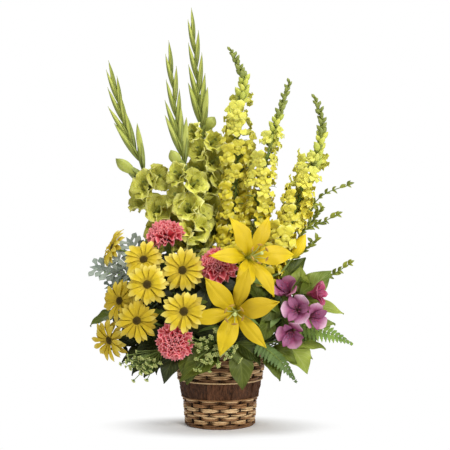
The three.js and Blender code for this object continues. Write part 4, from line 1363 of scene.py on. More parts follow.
@dataclass
class Daisy:
    """A daisy: two whorls of narrow rays round a domed disc of tiny florets."""

    number: int
    at: Point
    facing: Point
    shade: float = 0.0  # painted shade: how far its rays are darkened towards the deeper mustard, for a bloom in shade
    radius: float = 36
    rays: int = 27
    disc: float = 0.21  # the disc's radius as a share of its own
    knobs: int = 84

    def build(self) -> None:
        """Builds the bloom."""
        draw = Random(70 + self.number)
        bench = Bench()
        r = self.radius
        place = posed(self.at, self.facing, self.number)
        for i in range(self.rays):
            upper = i % 2
            reach = r * draw.uniform(0.84, 1.1)
            tip = (reach, draw.uniform(-3, 3), (5 if upper else -0.5) + draw.uniform(-4, 4))
            ray = Blade((0.12 * r, 0, 0.5 + upper), tip, UPWARD, draw.uniform(8.6, 11), peak=0.7, root=0.4,
                        arch=3, curl=3, fold=0.12, groove=0.35)
            turn = (i + draw.uniform(-0.15, 0.15)) / self.rays * tau
            # Painted shade: the bloom's shade, and more for the lower whorl beneath the upper one, with
            # random tone added.
            tint = min(1.0, self.shade + draw.uniform(0, 0.5) + (0 if upper else 0.25))
            bench.once(ray.mesh(4, 9, 0.5), DAISY_RAY, place @ spun(turn), tint)
        dome = self.disc * r
        cap = [(0, -1), (dome * 0.9, -0.5), (dome * 0.95, 1.6), (dome * 0.7, 3.2), (dome * 0.3, 3.9), (0, 4)]
        bench.once(turned(cap, 14), DAISY_DISC, place, 0.1)
        knob = ball(1.05, 1)
        for i in range(self.knobs):
            share = sqrt((i + 0.5) / self.knobs)
            spot = around(i * SPREAD_TURN, dome * share, 4.2 - 2.6 * share**3)
            tint = 0.15 + 0.75 * share**3 * draw.uniform(0.4, 1)
            bench.add(knob, DAISY_DISC, place @ moved(*spot), tint)
        bpy.data.meshes.remove(knob)
        for i in range(10):
            cup = Blade((1, 0, -4), (0.34 * r, 0, -0.5), UPWARD, 5, root=0.6)
            bench.once(cup.mesh(2, 4, 0.6), STEM_LEAF, place @ spun(i * pi / 5), draw.random())
        bench.finish(f"daisy_{self.number}_rays", Slot.DAISY, f"daisy_bloom_{self.number}")


@dataclass
class DaisySpray:
    """The branching stem of several daisies, with its lobed leaves."""

    number: int
    way: Points
    blooms: Sequence[Daisy]

    def build(self) -> None:
        """Builds the stem, its branches and leaves."""
        draw = Random(90 + self.number)
        bench = Bench()
        trunk = Way.rooted(self.way)
        bench.stem(trunk, (2.4, 2.0))
        bench.once(ball(3.4), STEM_GREEN, moved(*self.way[-1]))
        for i, bloom in enumerate(self.blooms):
            branch = Way([self.way[-1], *(behind(bloom.at, bloom.facing, far) for far in (36, 9, 3))])
            bench.once(tube(branch, flared(1.5, 6.5, 0.67, 1.5), 8, 24), STEM_GREEN)
            for k in range(3):
                root = branch.at(0.12 + 0.2 * k)
                right, up = ((30, 14) if (i + k) % 2 else (-28, -18))
                tip = root + Vector((right, -6 + 14 * k, up * (1 if k == 0 else 0.4)))
                leaf = Blade(root, tip, (0, -0.6, 0.8), 21, peak=0.55, arch=4, teeth=4, tooth=0.42, fold=0.1)
                bench.once(leaf.mesh(6, 26, 0.7), SALAL_LEAF, tint=draw.random())
        bench.finish(f"daisy_spray_{self.number}_green", Slot.STEM, f"daisy_spray_{self.number}")


@dataclass
class Alstroemeria:
    """An alstroemeria bloom: three broad tepals, three narrow streaked ones between them, and stamens."""

    number: int
    at: Point
    facing: Point
    radius: float
    shade: float = 0.2  # how much of it is the deeper colour
    dark: bool = False  # whether it is still young, and deep pink all over
    depth: float = 28  # from its face back to its stem
    spread: float = 1.16  # how far its open tepals reach past its nominal radius

    def build(self) -> None:
        """Builds the bloom."""
        draw = Random(120 + self.number)
        bench = Bench()
        r, d = self.radius * self.spread, self.depth
        place = posed(self.at, self.facing, self.number)
        for i in range(6):
            if i % 2:
                look = ALSTROEMERIA_INNER
                curve = [(1.2, -d), (0.18 * r, -0.6 * d), (0.34 * r, -0.26 * d), (0.62 * r, 0.02 * d),
                         (0.9 * r, 4.6)]
                tepal = Tepal(curve, width=0.56 * r, root=0.24, cup=0.25, groove=0.5)
            else:
                look = ALSTROEMERIA_OUTER
                curve = [(1.5, -d), (0.24 * r, -0.62 * d), (0.44 * r, -0.32 * d), (0.74 * r, -0.08 * d),
                         (r, 0.5)]
                tepal = Tepal(curve, width=1.06 * r, peak=0.72, root=0.16, cup=0.14, ruffle=1.3, waves=2,
                              phase=draw.random() * 6, groove=0.6)
            turn = spun(i * pi / 3 + draw.uniform(-0.08, 0.08))
            tint = min(1.0, self.shade + draw.uniform(-0.15, 0.3))
            bench.once(tepal.mesh(10, 13, 0.8), ALSTROEMERIA_DARK if self.dark else look, place @ turn, tint)
        filament = Way([(1, 0, -0.8 * d), (3, 0, -0.3 * d), (6.5, 0, 2)])
        for i in range(6):
            turn = place @ spun(i * pi / 3 + 0.4)
            bench.stem(filament, (0.5, 0.5), 5, 6, ALSTROEMERIA_INNER, turn)
            bench.once(spindle(4, 1.8, 0.5), ALSTROEMERIA_DARK, turn @ moved(6.5, 0, 1.5))
        name = f"alstroemeria_{self.number}_petals"
        bench.finish(name, Slot.ALSTROEMERIA, f"alstroemeria_bloom_{self.number}")


@dataclass
class AlstroemeriaStem:
    """The alstroemeria's stem with a branch to each bloom and slim leaves."""

    way: Points
    blooms: Sequence[Alstroemeria]
    leaf_tips: Points = ((66, -84, 214), (98, -30, 232), (140, -70, 172), (84, -92, 176))

    def build(self) -> None:
        """Builds the stem."""
        draw = Random(140)
        bench = Bench()
        fork = self.way[-1]
        bench.stem(Way.rooted(self.way), (2.8, 2.4))
        bench.once(ball(4), STEM_GREEN, moved(*fork))
        for bloom in self.blooms:
            branch = Way([fork, *(behind(bloom.at, bloom.facing, bloom.depth + far) for far in (14, 1.5))])
            bench.once(tube(branch, lambda t: mix(1.5, 3.0, t**2), 8, 16), STEM_GREEN)
        for tip in self.leaf_tips:
            leaf = Blade(fork, tip, (0, -0.5, 0.8), 13, arch=5, fold=0.12)
            bench.once(leaf.mesh(4, 12, 0.6), STEM_LEAF, tint=draw.random())
        bench.finish("alstroemeria_green", Slot.STEM, "alstroemeria_stem")


# ---- foliage
@dataclass
class LeafyStem:
    """A stem with broad glossy leaves, finely toothed, with quilted veins."""

    name: str
    way: Points
    leaves: Sequence[tuple[float, Point, Point, float]]  # place along the stem, tip, facing, width
    look: Finish = SALAL_LEAF

    def build(self) -> None:
        """Builds the stem and its leaves."""
        draw = Random(self.name)
        bench = Bench()
        spine = Way.rooted(self.way)
        bench.stem(spine, (2.0, 1.3))
        for t, tip, face, width in self.leaves:
            leaf = Blade(spine.at(mix(0.4, 1, t)), tip, face, width, peak=0.42, arch=7, fold=0.12,
                         ruffle=width * 0.045, waves=2.6, phase=draw.random() * 6, teeth=30, tooth=0.035,
                         quilt=0.35, groove=0.5, curl=2)
            bench.once(leaf.mesh(14, 60, 0.7), self.look, tint=draw.random())
        bench.finish(f"{self.name}_leaves", Slot.SALAL, self.name)


@dataclass
class Filler:
    """Dark leaves that close the gaps between the flowers, on stalks from the foam, darkened as painted shade
    on the left and deep inside.
    """

    clear: Sequence[tuple[Point, float]]  # blooms that the leaves keep off: their middles and radii
    leaves: int = 230
    middle: Point = (-4, -2, 186)
    reach: Point = (186, 82, 132)
    heights: Pair = (0.95, -0.62)  # the highest and lowest leaves, as shares of the reach
    top: float = 306
    rim: Pair = (142, 100)  # the height and the radius round the basket that stay free

    def fits(self, root: Vector, tip: Vector) -> bool:
        """Whether a leaf keeps off the blooms, the basket's rim and the space above.

        Args:
            root: Where the leaf begins.
            tip: Where it ends.

        Returns:
            True if it does.
        """
        if max(root.z, tip.z) > self.top:
            return False
        for share in (0, 0.3, 0.6, 1):
            place = root.lerp(tip, share)
            if place.z < self.rim[0] and place.xy.length < self.rim[1]:
                return False
            if any((place - Vector(at)).length < radius for at, radius in self.clear):
                return False
        return True

    def build(self) -> None:
        """Builds the leaves over a rounded shell, each lying nearly flat to it."""
        draw = Random(7)
        bench = Bench()
        for i in range(self.leaves):
            up = mix(*self.heights, (i + 0.5) / self.leaves)
            out = around(i * SPREAD_TURN, sqrt(1 - up * up), up)
            shell = draw.uniform(0.62, 1.0)
            at = Vector(self.middle) + Vector([o * r * shell for o, r in zip(out, self.reach)])
            aside = out.cross(Vector([draw.uniform(-1, 1) for _ in range(3)])).normalized()
            length = draw.uniform(44, 62)
            root, tip = at - aside * length / 2 - out * 9, at + aside * length / 2 + out * 5
            if not self.fits(root, tip):
                continue
            start = in_foam(root)
            stalk = Way([start, start.lerp(root, 0.6), root, root.lerp(tip, 0.1)])
            bench.stem(stalk, (1.2, 1.2), 5, 8, tint=0.0)
            face = out + Vector((draw.uniform(-0.4, 0.4), draw.uniform(-0.4, 0.4), 0.4))
            leaf = Blade(root, tip, face, draw.uniform(24, 34), peak=0.45, arch=6, fold=0.15, curl=4,
                         ruffle=1.5, waves=2.4, phase=draw.random() * 6, quilt=0.3, groove=0.5)
            # Painted shade: leaves up to a little right of the middle take the near-black green, and leaves
            # deeper in the shell a darker tint.
            look = SALAL_LEAF if at.x > 40 else PAINTED_SHADE_LEAF
            bench.once(leaf.mesh(6, 14, 0.7), look, tint=draw.uniform(0, 0.8) * shell)
        bench.finish("filler_leaves", Slot.SALAL)


@dataclass
class Fern:
    """A fern frond: pairs of lobed leaflets along an arched rib."""

    name: str
    way: Points
    base: Point
    tip: Point
    face: Point
    width: float
    pairs: int = 17
    full: float = 0.3  # how much of its swell the lowest leaflets already have
    arch: float = 10
    droop: float = 8  # how far the longest leaflets hang
    leaflet: float = 0.95  # a leaflet's width as a share of the space between two
    look: Finish = FERN_LEAF

    def build(self) -> None:
        """Builds the frond."""
        draw = Random(self.name)
        bench = Bench()
        bench.stem(Way.rooted([*self.way, self.base]), (1.8, 1.4), 6, 14)
        start, chord = Vector(self.base), Vector(self.tip) - Vector(self.base)
        side, rise = sides(chord, self.face)

        def rib(t: float) -> Vector:
            """The point at a share of the rib."""
            return start + chord * t + rise * (self.arch * 4 * t * (1 - t))

        bench.stem(Way([rib(k / 8) for k in range(9)]), (1.3, 0.5), 6, 24)
        step = chord.length / self.pairs
        for i in range(self.pairs):
            t = (i + 0.5) / self.pairs
            reach = sin(pi * min(0.97, mix(self.full, 1, t) ** 0.8)) * self.width / 2
            for way in (-1, 1):
                root = rib(t)
                tip = root + side * (way * reach) + chord.normalized() * (reach * 0.28 + 2)
                tip -= rise * (self.droop * (reach / self.width) ** 2 + draw.uniform(0, 2))
                leaf = Blade(root, tip, self.face, max(4.0, step * self.leaflet), peak=0.4, root=0.5,
                             arch=1.5, fold=-0.1, teeth=5, tooth=0.35, curl=1)
                bench.once(leaf.mesh(4, 16, 0.6), self.look, tint=draw.random())
        bench.finish(f"{self.name}_frond", Slot.FERN, self.name)


def leaflet(root: Vector, ahead: Vector, size: float) -> Mesh:
    """A small leaf, half as wide as it is long, from its root on its way ahead."""
    return Blade(root, root + ahead * size, (0, -0.7, 0.7), size * 0.5, arch=1.2, fold=0.25).mesh(4, 6, 0.6)


@dataclass
class Sprig:
    """A sprig of small leaves in pairs along its branches."""

    name: str
    trunk: Points
    branches: Sequence[Points]
    pairs: int = 8

    def build(self) -> None:
        """Builds the sprig."""
        draw = Random(self.name)
        bench = Bench()
        bench.stem(Way.rooted(self.trunk), (2.0, 1.5), 6)
        for points in self.branches:
            spine = Way(points)
            bench.stem(spine, (1.4, 0.7), 6)
            for i in range(self.pairs * 2 + 1):
                last = i == self.pairs * 2
                t = 0.97 if last else mix(0.1, 0.95, i // 2 / (self.pairs - 1))
                turn = i // 2 * 1.3 + i % 2 * pi
                out = Vector((sin(turn) * 0.5, -cos(turn) * 0.7, cos(turn) * 0.8))
                ahead = spine.along(t) if last else (spine.along(t) + out).normalized()
                size = draw.uniform(13, 19) * mix(1, 0.75, t)
                bench.once(leaflet(spine.at(t), ahead, size), SPRIG_LEAF, tint=draw.random())
        bench.finish(f"{self.name}_leaves", Slot.SPRIG, self.name)


@dataclass
class Greens:
    """Single leaves and leafy twigs that stand between the named stems."""

    leaves: Sequence[tuple[Point, Point, Point, float, Finish]]  # root, tip, facing, width and finish
    twigs: Sequence[Points]
    twig_leaves: int = 34

    def build(self) -> None:
        """Builds the leaves, then the twigs."""
        draw = Random(17)
        bench = Bench()
        for root, tip, face, width, look in self.leaves:
            start = in_foam(root)
            above = start.lerp(Vector(root), 0.5) + Vector((0, 0, 18))
            stalk = Way([start, above, root, Vector(root).lerp(Vector(tip), 0.1)])
            bench.stem(stalk, (1.6, 1.2), 6, 14)
            leaf = Blade(root, tip, face, width, peak=0.44, arch=9, fold=0.14, ruffle=width * 0.05, waves=2.4,
                         phase=draw.random() * 6, teeth=28, tooth=0.035, quilt=0.35, groove=0.5, curl=3)
            bench.once(leaf.mesh(14, 56, 0.7), look, tint=draw.random())
        bench.finish("side_leaves", Slot.SALAL)
        bench = Bench()
        for points in self.twigs:
            spine = Way.rooted(points)
            bench.stem(spine, (1.6, 0.7), 6, 30)
            for i in range(self.twig_leaves):
                t = mix(0.5, 0.99, i / (self.twig_leaves - 1))
                turn = i * SPIRAL
                aside = Vector((cos(turn), sin(turn) * 0.7, draw.uniform(-0.2, 0.4)))
                ahead = (spine.along(t) * 0.8 + aside).normalized()
                leaf = leaflet(spine.at(t), ahead, draw.uniform(11, 17))
                bench.once(leaf, SPRIG_LEAF, tint=draw.uniform(0, 0.8))
        bench.finish("side_twigs", Slot.SPRIG)


@dataclass
class SilverLeaves:
    """Felted silver leaves, cut into round lobes."""

    way: Points = ((-66, 14, 186), (-118, 10, 240))
    leaves: Sequence[tuple[Point, Point]] = (
        ((-150, 6, 254), (-228, -4, 274)), ((-128, 14, 262), (-166, 20, 326)),
    )
    small: Sequence[tuple[Point, Point]] = (
        ((-140, 8, 246), (-202, -6, 236)), ((-146, 8, 256), (-202, 10, 302)),
        ((-120, 10, 250), (-150, -10, 214)),
    )
    face: Point = (-0.2, -0.8, 0.6)  # the way that they all face

    def leaf(self, bench: Bench, draw: Random, ends: tuple[Point, Point], width: float, pairs: int) -> None:
        """Adds a leaf: a narrow blade with pairs of notched lobes.

        Args:
            bench: Its bench.
            draw: Draws the small differences.
            ends: Where its blade begins and ends.
            width: Its greatest width.
            pairs: How many pairs of lobes it has.
        """
        face, root, tip = Vector(self.face), Vector(ends[0]), Vector(ends[1])
        chord = tip - root
        side, rise = sides(chord, face)
        bench.stem(Way([self.way[-1], root]), (1.3, 1.3), 6, 8, SILVER_FELT)
        spine = Blade(root, tip, face, width * 0.3, peak=0.7, root=0.3, arch=6, fold=0.1, teeth=3, tooth=0.3)
        bench.once(spine.mesh(4, 24, 1.0), SILVER_FELT, tint=draw.random())
        for i in range(pairs):
            t = mix(0.12, 0.82, i / (pairs - 1))
            foot = root + chord * t + rise * (24 * t * (1 - t))
            for way in (-1, 1):
                reach = width * 0.56 * sin(pi * mix(0.3, 0.84, t)) * draw.uniform(0.9, 1.1)
                end = foot + side * (way * reach) + chord.normalized() * (reach * 0.6)
                end += rise * draw.uniform(-4, 2)
                lobe = Blade(foot, end, face, reach * 0.6, peak=0.7, root=0.3, arch=1.5, teeth=2, tooth=0.35)
                bench.once(lobe.mesh(4, 14, 1.0), SILVER_FELT, tint=draw.random())

    def build(self) -> None:
        """Builds the leaves."""
        draw = Random(21)
        bench = Bench()
        bench.stem(Way.rooted(self.way), (2.0, 1.4), 6, look=SILVER_FELT)
        for ends in self.leaves:
            self.leaf(bench, draw, ends, 46, 6)
        for ends in self.small:
            self.leaf(bench, draw, ends, 34, 4)
        bench.finish("silver_leaves", Slot.SILVER_LEAF, "dusty_miller")


@dataclass
class Umbel:
    """Small yellow-green flower heads: beads on short rays over round bracts."""

    name: str
    trunk: Points
    heads: Points
    head: float = 3.6  # the radius of a head's bracts
    young: int = 8  # smaller heads beside each
    beads: int = 9

    def build(self) -> None:
        """Builds the stalks and heads."""
        draw = Random(self.name)
        bench = Bench()
        fork = Vector(self.trunk[-1])
        bench.stem(Way.rooted(self.trunk), (1.8, 1.4), 6, 16)
        bead = ball(1.25, 1)
        bract = Blade((0.5, 0, 0), (self.head * 0.95, 0, 1.0), UPWARD, self.head * 0.6, peak=0.6, root=0.3,
                      arch=0.8, curl=0.5).mesh(4, 6, 0.6)
        heads = [(Vector(at), 1.0) for at in self.heads]
        for at in self.heads:
            for _ in range(self.young):
                beside = Vector([draw.uniform(-17, 17), draw.uniform(-7, 1), draw.uniform(-15, 16)])
                heads.append((Vector(at) + beside, draw.uniform(0.6, 0.95)))
        for at, size in heads:
            bench.stem(Way([fork, at]), (1.0, 0.7), 5, 5)
            place = posed(at, at - fork, draw.random() * 6) @ sized(size)
            for i in range(6):
                bench.add(bract, STEM_LEAF, place @ spun(i * pi / 3), draw.random() * 0.4)
            for i in range(self.beads):
                share = sqrt((i + 0.4) / self.beads)
                height = 4.2 - 1.6 * share**2 + draw.uniform(-0.6, 0.6)
                spot = around(i * SPREAD_TURN, share * self.head * 1.2, height)
                bench.stem(Way([(0, 0, 0.5), spot]), (0.5, 0.5), 4, 2, place=place)
                bench.add(bead, UMBEL_HEAD, place @ moved(*spot), draw.uniform(0.3, 1))
        for shape in (bead, bract):
            bpy.data.meshes.remove(shape)
        bench.finish(f"{self.name}_heads", Slot.SPRIG, self.name)


# ---- basket
def hoop(
    line: Line, thick: float, high: float, steps: int, lean: float = 0.0,
    swell: Callable[[float], float] = lambda turn: 1,
) -> Mesh:
    """A strand or a wall that closes on itself round +Z.

    Args:
        line: Its distance from the axis and its height at a turn.
        thick: Half its thickness, from front to back.
        high: Half its height.
        steps: Steps round it.
        lean: How far outward it leans for each millimetre up.
        swell: How many times its height it has at a turn.

    Returns:
        The mesh.
    """

    def spot(across: float, t: float) -> Vector:
        """A point of its skin."""
        turn, roll = t * tau, across * tau
        reach, height = line(turn)
        up = sin(roll) * high * swell(turn)
        return around(turn, reach + cos(roll) * thick + up * lean, height + up)

    return rolled(spot, 8, steps)


@dataclass(frozen=True)
class Band:
    """A band of the basket's wall."""

    bottom: float
    top: float
    bottom_radius: float
    top_radius: float
    rows: int = 0  # of its rods
    looks: Sequence[Finish] = ()  # the finishes that its rods are drawn from

    def radius(self, height: float) -> float:
        """The wall's radius at a height."""
        return mix(self.bottom_radius, self.top_radius, (height - self.bottom) / (self.top - self.bottom))

    def wall(self, inside: float, thick: float) -> Mesh:
        """A plain wall behind the band.

        Args:
            inside: How far inside the band's outside its middle lies.
            thick: Its thickness.

        Returns:
            The mesh.
        """
        middle = (self.bottom + self.top) / 2
        lean = (self.top_radius - self.bottom_radius) / (self.top - self.bottom)
        high = middle - self.bottom - 0.5
        return hoop(lambda turn: (self.radius(middle) - inside, middle), thick / 2, high, 64, lean)


@dataclass
class Basket:
    """The round basket: woven bands on stakes, a belt of bark and a braided rim."""

    stakes: int = 20
    lower: Band = Band(0.8, 49.4, 60.5, 64.5, 7, (LIGHT_REED, LIGHT_REED, BROWN_REED))
    bark: Band = Band(50, 79.4, 68, 73.5)
    upper: Band = Band(80, 120.6, 73, 81, 6, (BROWN_REED, BROWN_REED, LIGHT_REED))
    chips: int = 10
    sway: float = 3.2  # how far a rod goes out over a stake and in behind the next
    slot: float = 0.9  # the power that sets how narrow the dips behind the stakes are
    swell: float = 0.2  # how much taller a rod is where it passes over a stake
    inset: float = 3.8  # from the wall's outside to the stakes' middle
    lap: float = 1.12  # how far round a bark chip goes, as a share of its own place
    coils: int = 12  # the rods of the base
    rim_radius: float = 82
    rim_height: float = 127.6
    strands: int = 3
    winds: int = 5  # how often a strand winds round the rim
    draw: Random = field(default_factory=lambda: Random(3))

    def weave(self, name: str, band: Band) -> None:
        """Builds a woven band, two rods to a row.

        Args:
            name: The piece's name, which its solid's name ends with.
            band: The band.
        """
        bench = Bench()
        pitch = (band.top - band.bottom) / band.rows
        for row in range(band.rows):
            for rod in (0.26, 0.74):
                height = band.bottom + (row + rod) * pitch
                phase = self.draw.random() * 6

                def over(turn: float) -> float:
                    """How far the rod is over a stake, from -1 behind one to 1 in front of the next."""
                    return cos(turn * self.stakes / 2 + pi * row)

                def line(turn: float) -> Pair:
                    """The rod's line, which wavers a little."""
                    out = self.sway * (1 - 2 * max(0.0, -over(turn)) ** self.slot)
                    waver = 0.35 * sin(turn * 3 + phase) + 0.25 * sin(turn * 7 + phase * 2)
                    return band.radius(height) - self.inset + out, height + waver

                # Painted shade: the lowest row is always the brown reed.
                look = BROWN_REED if row == 0 else self.draw.choice(band.looks)
                strand = hoop(line, 1.8, pitch * 0.232, 240, swell=lambda turn: 1 + self.swell * over(turn))
                lightness = min(1.0, row * 0.4 + 0.2)  # painted shade: the lowest rows are the darkest, as they lie in shadow by the floor
                bench.once(strand, look, tint=self.draw.random() * lightness)
        # Painted shade: a dark wall behind the weave, so that its gaps show dark.
        bench.once(band.wall(self.inset + 3.2, 2), PAINTED_SHADE_REED)
        bench.finish(name, Slot.WICKER, f"basket_{name}")

    def foot(self) -> None:
        """Builds the round base and the stakes that rise from it."""
        bench = Bench()
        disc = self.lower.bottom_radius - 6
        profile = [(0, 2), (disc, 2), (disc + 0.6, 3.5), (disc, 5), (0, 5)]
        bench.once(turned(profile, 48), BROWN_REED)
        for i in range(self.coils):

            def line(turn: float) -> Pair:
                """The rod's line, up where the next rod's goes down."""
                return 4 + i * 4.3, 2.1 + 0.7 * cos(turn * 6 + pi * i)

            bench.once(hoop(line, 1.9, 1.3, 72), LIGHT_REED, tint=self.draw.random())
        edge = self.lower.bottom_radius - 2.2
        # Painted shade: the ring on the floor takes the darkest tint.
        bench.once(hoop(lambda turn: (edge, 2.3), 2.3, 2.3, 96), BROWN_REED, tint=0.0)
        for i in range(self.stakes):
            points = []
            for height in (3, 25, 48, 65, 81, 100, self.upper.top):
                band = self.lower if height < self.lower.top else self.upper
                points.append(around(i / self.stakes * tau, band.radius(height) - self.inset, height))
            # The stakes are dark as painted shade in the dips of the weave.
            bench.stem(Way(points), (1.3, 1.3), 7, 24, PAINTED_SHADE_REED, tint=self.draw.random())
        bench.finish("basket_stakes", Slot.WICKER, "basket_base")

    def belt(self) -> None:
        """Builds the belt of bark chips, each lapping over the next, between two thin binding rods."""
        bench = Bench()
        for i in range(self.chips):
            shade = self.draw.uniform(0.1, 0.7)
            seed = self.draw.uniform(0, 50)
            low, high = self.draw.uniform(-0.2, 1.2), self.draw.uniform(-0.2, 1.2)

            def spot(across: float, t: float) -> Vector:
                """A point of the chip, ridged along its grain and ragged at its ends."""
                turn = (i + across * self.lap) * (tau / self.chips)
                ridge = noise.noise(Vector((turn * 34 + seed, t * 2.2, seed)))
                knob = noise.noise(Vector((turn * 9, t * 5, seed + 3)))
                ragged = noise.noise(Vector((turn * 22, seed, 1)))
                foot = self.bark.bottom + low + ragged * 1.2 * (1 - t)
                height = mix(foot, self.bark.top - high + ragged * t, t)
                reach = self.bark.radius(height) - 4 + 2.6 * (1 - across) + ridge * 1.9 + knob * 1.3
                return around(turn, reach, height)

            bench.once(thin(spot, 34, 16, 2.2), BARK_CHIP, tint=shade)
        bench.once(self.bark.wall(5, 3), BARK_CHIP, tint=0.1)
        bench.finish("bark_belt", Slot.BARK, "basket_bark_band")
        bench = Bench()
        for reach, height, look in ((66.4, 49.8, BROWN_REED), (73.6, 80.2, LIGHT_REED)):
            bench.once(hoop(lambda turn: (reach, height), 1.5, 1.3, 120), look, tint=0.8)
        bench.finish("belt_bindings", Slot.WICKER)

    def border(self) -> None:
        """Builds the braided rim: strands of three rods that wind over and under each other."""
        bench = Bench()
        for i in range(self.strands):
            for rod in (-1, 0, 1):

                def line(turn: float) -> Pair:
                    """The rod's line, beside the others of its strand."""
                    roll = turn * self.winds + i / self.strands * tau + rod * 0.62
                    return self.rim_radius + 3.4 * cos(roll), self.rim_height + 3.1 * sin(roll)

                bench.once(hoop(line, 2.3, 2.3, 200), DARK_BRAID, tint=self.draw.random())
        bench.finish("braided_rim", Slot.BARK, "basket_rim")

    def build(self) -> None:
        """Builds the basket, and dresses its liner and foam."""
        self.foot()
        self.weave("lower_weave", self.lower)
        self.belt()
        self.weave("upper_weave", self.upper)
        self.border()
        for node, look in (("pot_liner", POT_PLASTIC), ("floral_foam", WET_FOAM)):
            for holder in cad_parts[node].material_slots:
                holder.material = look.material()


# ---- where the flowers stand
# The left spike's 0.5 is painted shade on its florets.
GLADIOLI = (
    Gladiolus(
        "gladiolus_left",
        [(-74, 34, 250), (-112, 36, 352), (-135, 41, 440), (-168, 43, 517), (-190, 44, 600)],
        [(0.63, 1, 0.3, 25), (0.56, -1, 0.6, 26), (0.49, 1, -0.2, 27), (0.42, -1, 0.5, 27),
         (0.6, -0.3, 0.3, 24), (0.52, 0.3, 0.2, 25), (0.45, -0.1, 0.1, 26)],
        [(0.63, (-0.8, -0.1, 0.62), 0.86)], 0.68, 9, 0.5,
    ),
    Gladiolus(
        "gladiolus_middle", [(-38, 2, 255), (-52, 16, 350), (-61, 30, 440), (-75, 31, 516), (-88, 32, 640)],
        [(0.57, -1, 0.4, 24), (0.5, 1, 0.5, 25), (0.43, -1, 0.6, 26), (0.36, 1, 0.3, 26),
         (0.64, -0.8, 0.2, 20), (0.61, 0.7, 0.3, 22), (0.53, -0.1, 0.2, 24), (0.46, 0.2, 0.3, 25)],
        [(0.66, (-0.5, -0.2, 0.8), 0.62)], 0.7, 9,
    ),
    Gladiolus(
        "gladiolus_right", [(-12, 50, 255), (-18, 60, 356), (-24, 61, 446), (-34, 58, 530), (-50, 56, 715)],
        [(0.62, 1, 0.5, 24), (0.56, -1, 0.5, 25), (0.49, 1, 0.6, 26), (0.42, -1, 0.6, 26),
         (0.35, 1, 0.5, 27), (0.28, -1, 0.5, 26),
         (0.79, -0.8, 0.3, 17), (0.76, 0.8, 0.3, 19), (0.72, -0.5, 0.2, 21), (0.68, 0.7, 0.3, 22),
         (0.645, -0.7, 0.4, 23), (0.59, 0.1, 0.1, 25), (0.52, -0.2, 0.1, 25), (0.45, 0.2, 0.1, 26)],
        [(0.8, (0.5, -0.2, 0.8), 0.5)], 0.81, 9,
    ),
)
SNAPDRAGONS = (
    Snapdragon(
        "snapdragon_left",
        [(15, 18, 255), (26, 15, 382), (31, 21, 460), (33, 22, 540), (42, 22, 600), (18, 22, 658)], 31, 0.8,
    ),
    Snapdragon(
        "snapdragon_middle",
        [(32, -10, 250), (61, -18, 350), (77, -17, 440), (92, -12, 505), (110, -4, 562), (122, 2, 597)],
        32, 0.7, sizes=(33, 22),
    ),
    Snapdragon(
        "snapdragon_right",
        [(68, -20, 240), (116, -32, 340), (142, -33, 404), (165, -30, 460), (176, -26, 520), (164, -20, 568)],
        33, 0.72, sizes=(34, 23),
    ),
)
LILY_BUD = LilyBud()
# Each lily's six shades are painted shade on its tepals; the lower lily lies in the upper one's shadow.
LILIES = (
    Lily(
        "upper", (60, -114, 298), (0.4, -0.9, 0.17), 0.4, [(18, -50, 200), (34, -66, 250)],
        [(0.4, (68, -62, 206)), (0.6, (88, -76, 240))], (0.2, 0.45, 0.3, 0.05, 0.3, 0.2), seed=5,
        bud=LILY_BUD,
    ),
    Lily(
        "lower", (24, -150, 205), (-0.05, -0.98, -0.05), 0.15, [(8, -72, 168), (16, -96, 186)],
        [(0.45, (-44, -84, 166)), (0.65, (68, -90, 180))], (0.9, 0.75, 0.5, 0.3, 0.2, 0.45), seed=8,
    ),
)
CARNATIONS = (
    Carnation(1, (-94, -38, 333), (-0.15, -0.5, 0.85), 31, [(-44, -12, 205), (-78, -18, 265)]),
    Carnation(2, (-3, -84, 281), (-0.05, -0.85, 0.5), 30, [(-10, -34, 205)]),
    Carnation(3, (-74, -118, 155), (-0.1, -0.97, -0.12), 29, [(-46, -60, 158)]),
)
# A daisy's last number, where given, is painted shade on its rays.
DAISIES = (
    Daisy(1, (-184, -20, 308), (-0.85, -0.35, 0.4)), Daisy(2, (-128, -66, 288), (-0.1, -0.85, 0.5)),
    Daisy(3, (-119, -108, 249), (-0.05, -1, 0.12)), Daisy(4, (-62, -95, 272), (0.1, -1, 0.1)),
    Daisy(5, (-168, -62, 219), (-0.55, -0.83, 0.05), 0.5),
    Daisy(6, (-136, -104, 190), (-0.15, -0.95, -0.15), 0.4),
    Daisy(7, (-58, -131, 207), (0.02, -1, 0.06), 0.1), Daisy(8, (-187, -48, 151), (-0.6, -0.75, -0.2), 0.2),
)
DAISY_SPRAYS = (
    DaisySpray(1, [(-68, -30, 186), (-104, -36, 246)], DAISIES[:3]),
    DaisySpray(2, [(-26, -52, 172), (-44, -72, 206)], [DAISIES[i] for i in (3, 6)]),
    DaisySpray(3, [(-78, -36, 166), (-118, -52, 182)], [DAISIES[i] for i in (4, 5, 7)]),
)
ALSTROEMERIAS = (
    Alstroemeria(1, (110, -66, 243), (-0.35, -0.65, 0.65), 21, 0.8),
    Alstroemeria(2, (172, -56, 232), (0.9, -0.4, 0.1), 20, dark=True),
    Alstroemeria(3, (126, -106, 208), (-0.2, -0.95, 0.15), 23),
    Alstroemeria(4, (160, -90, 194), (0.45, -0.88, 0.05), 21, 0.45),
    Alstroemeria(5, (116, -110, 166), (-0.15, -0.92, -0.3), 22, 0.5),
)
ALSTROEMERIA_STEM = AlstroemeriaStem([(62, -46, 160), (102, -58, 192)], ALSTROEMERIAS)
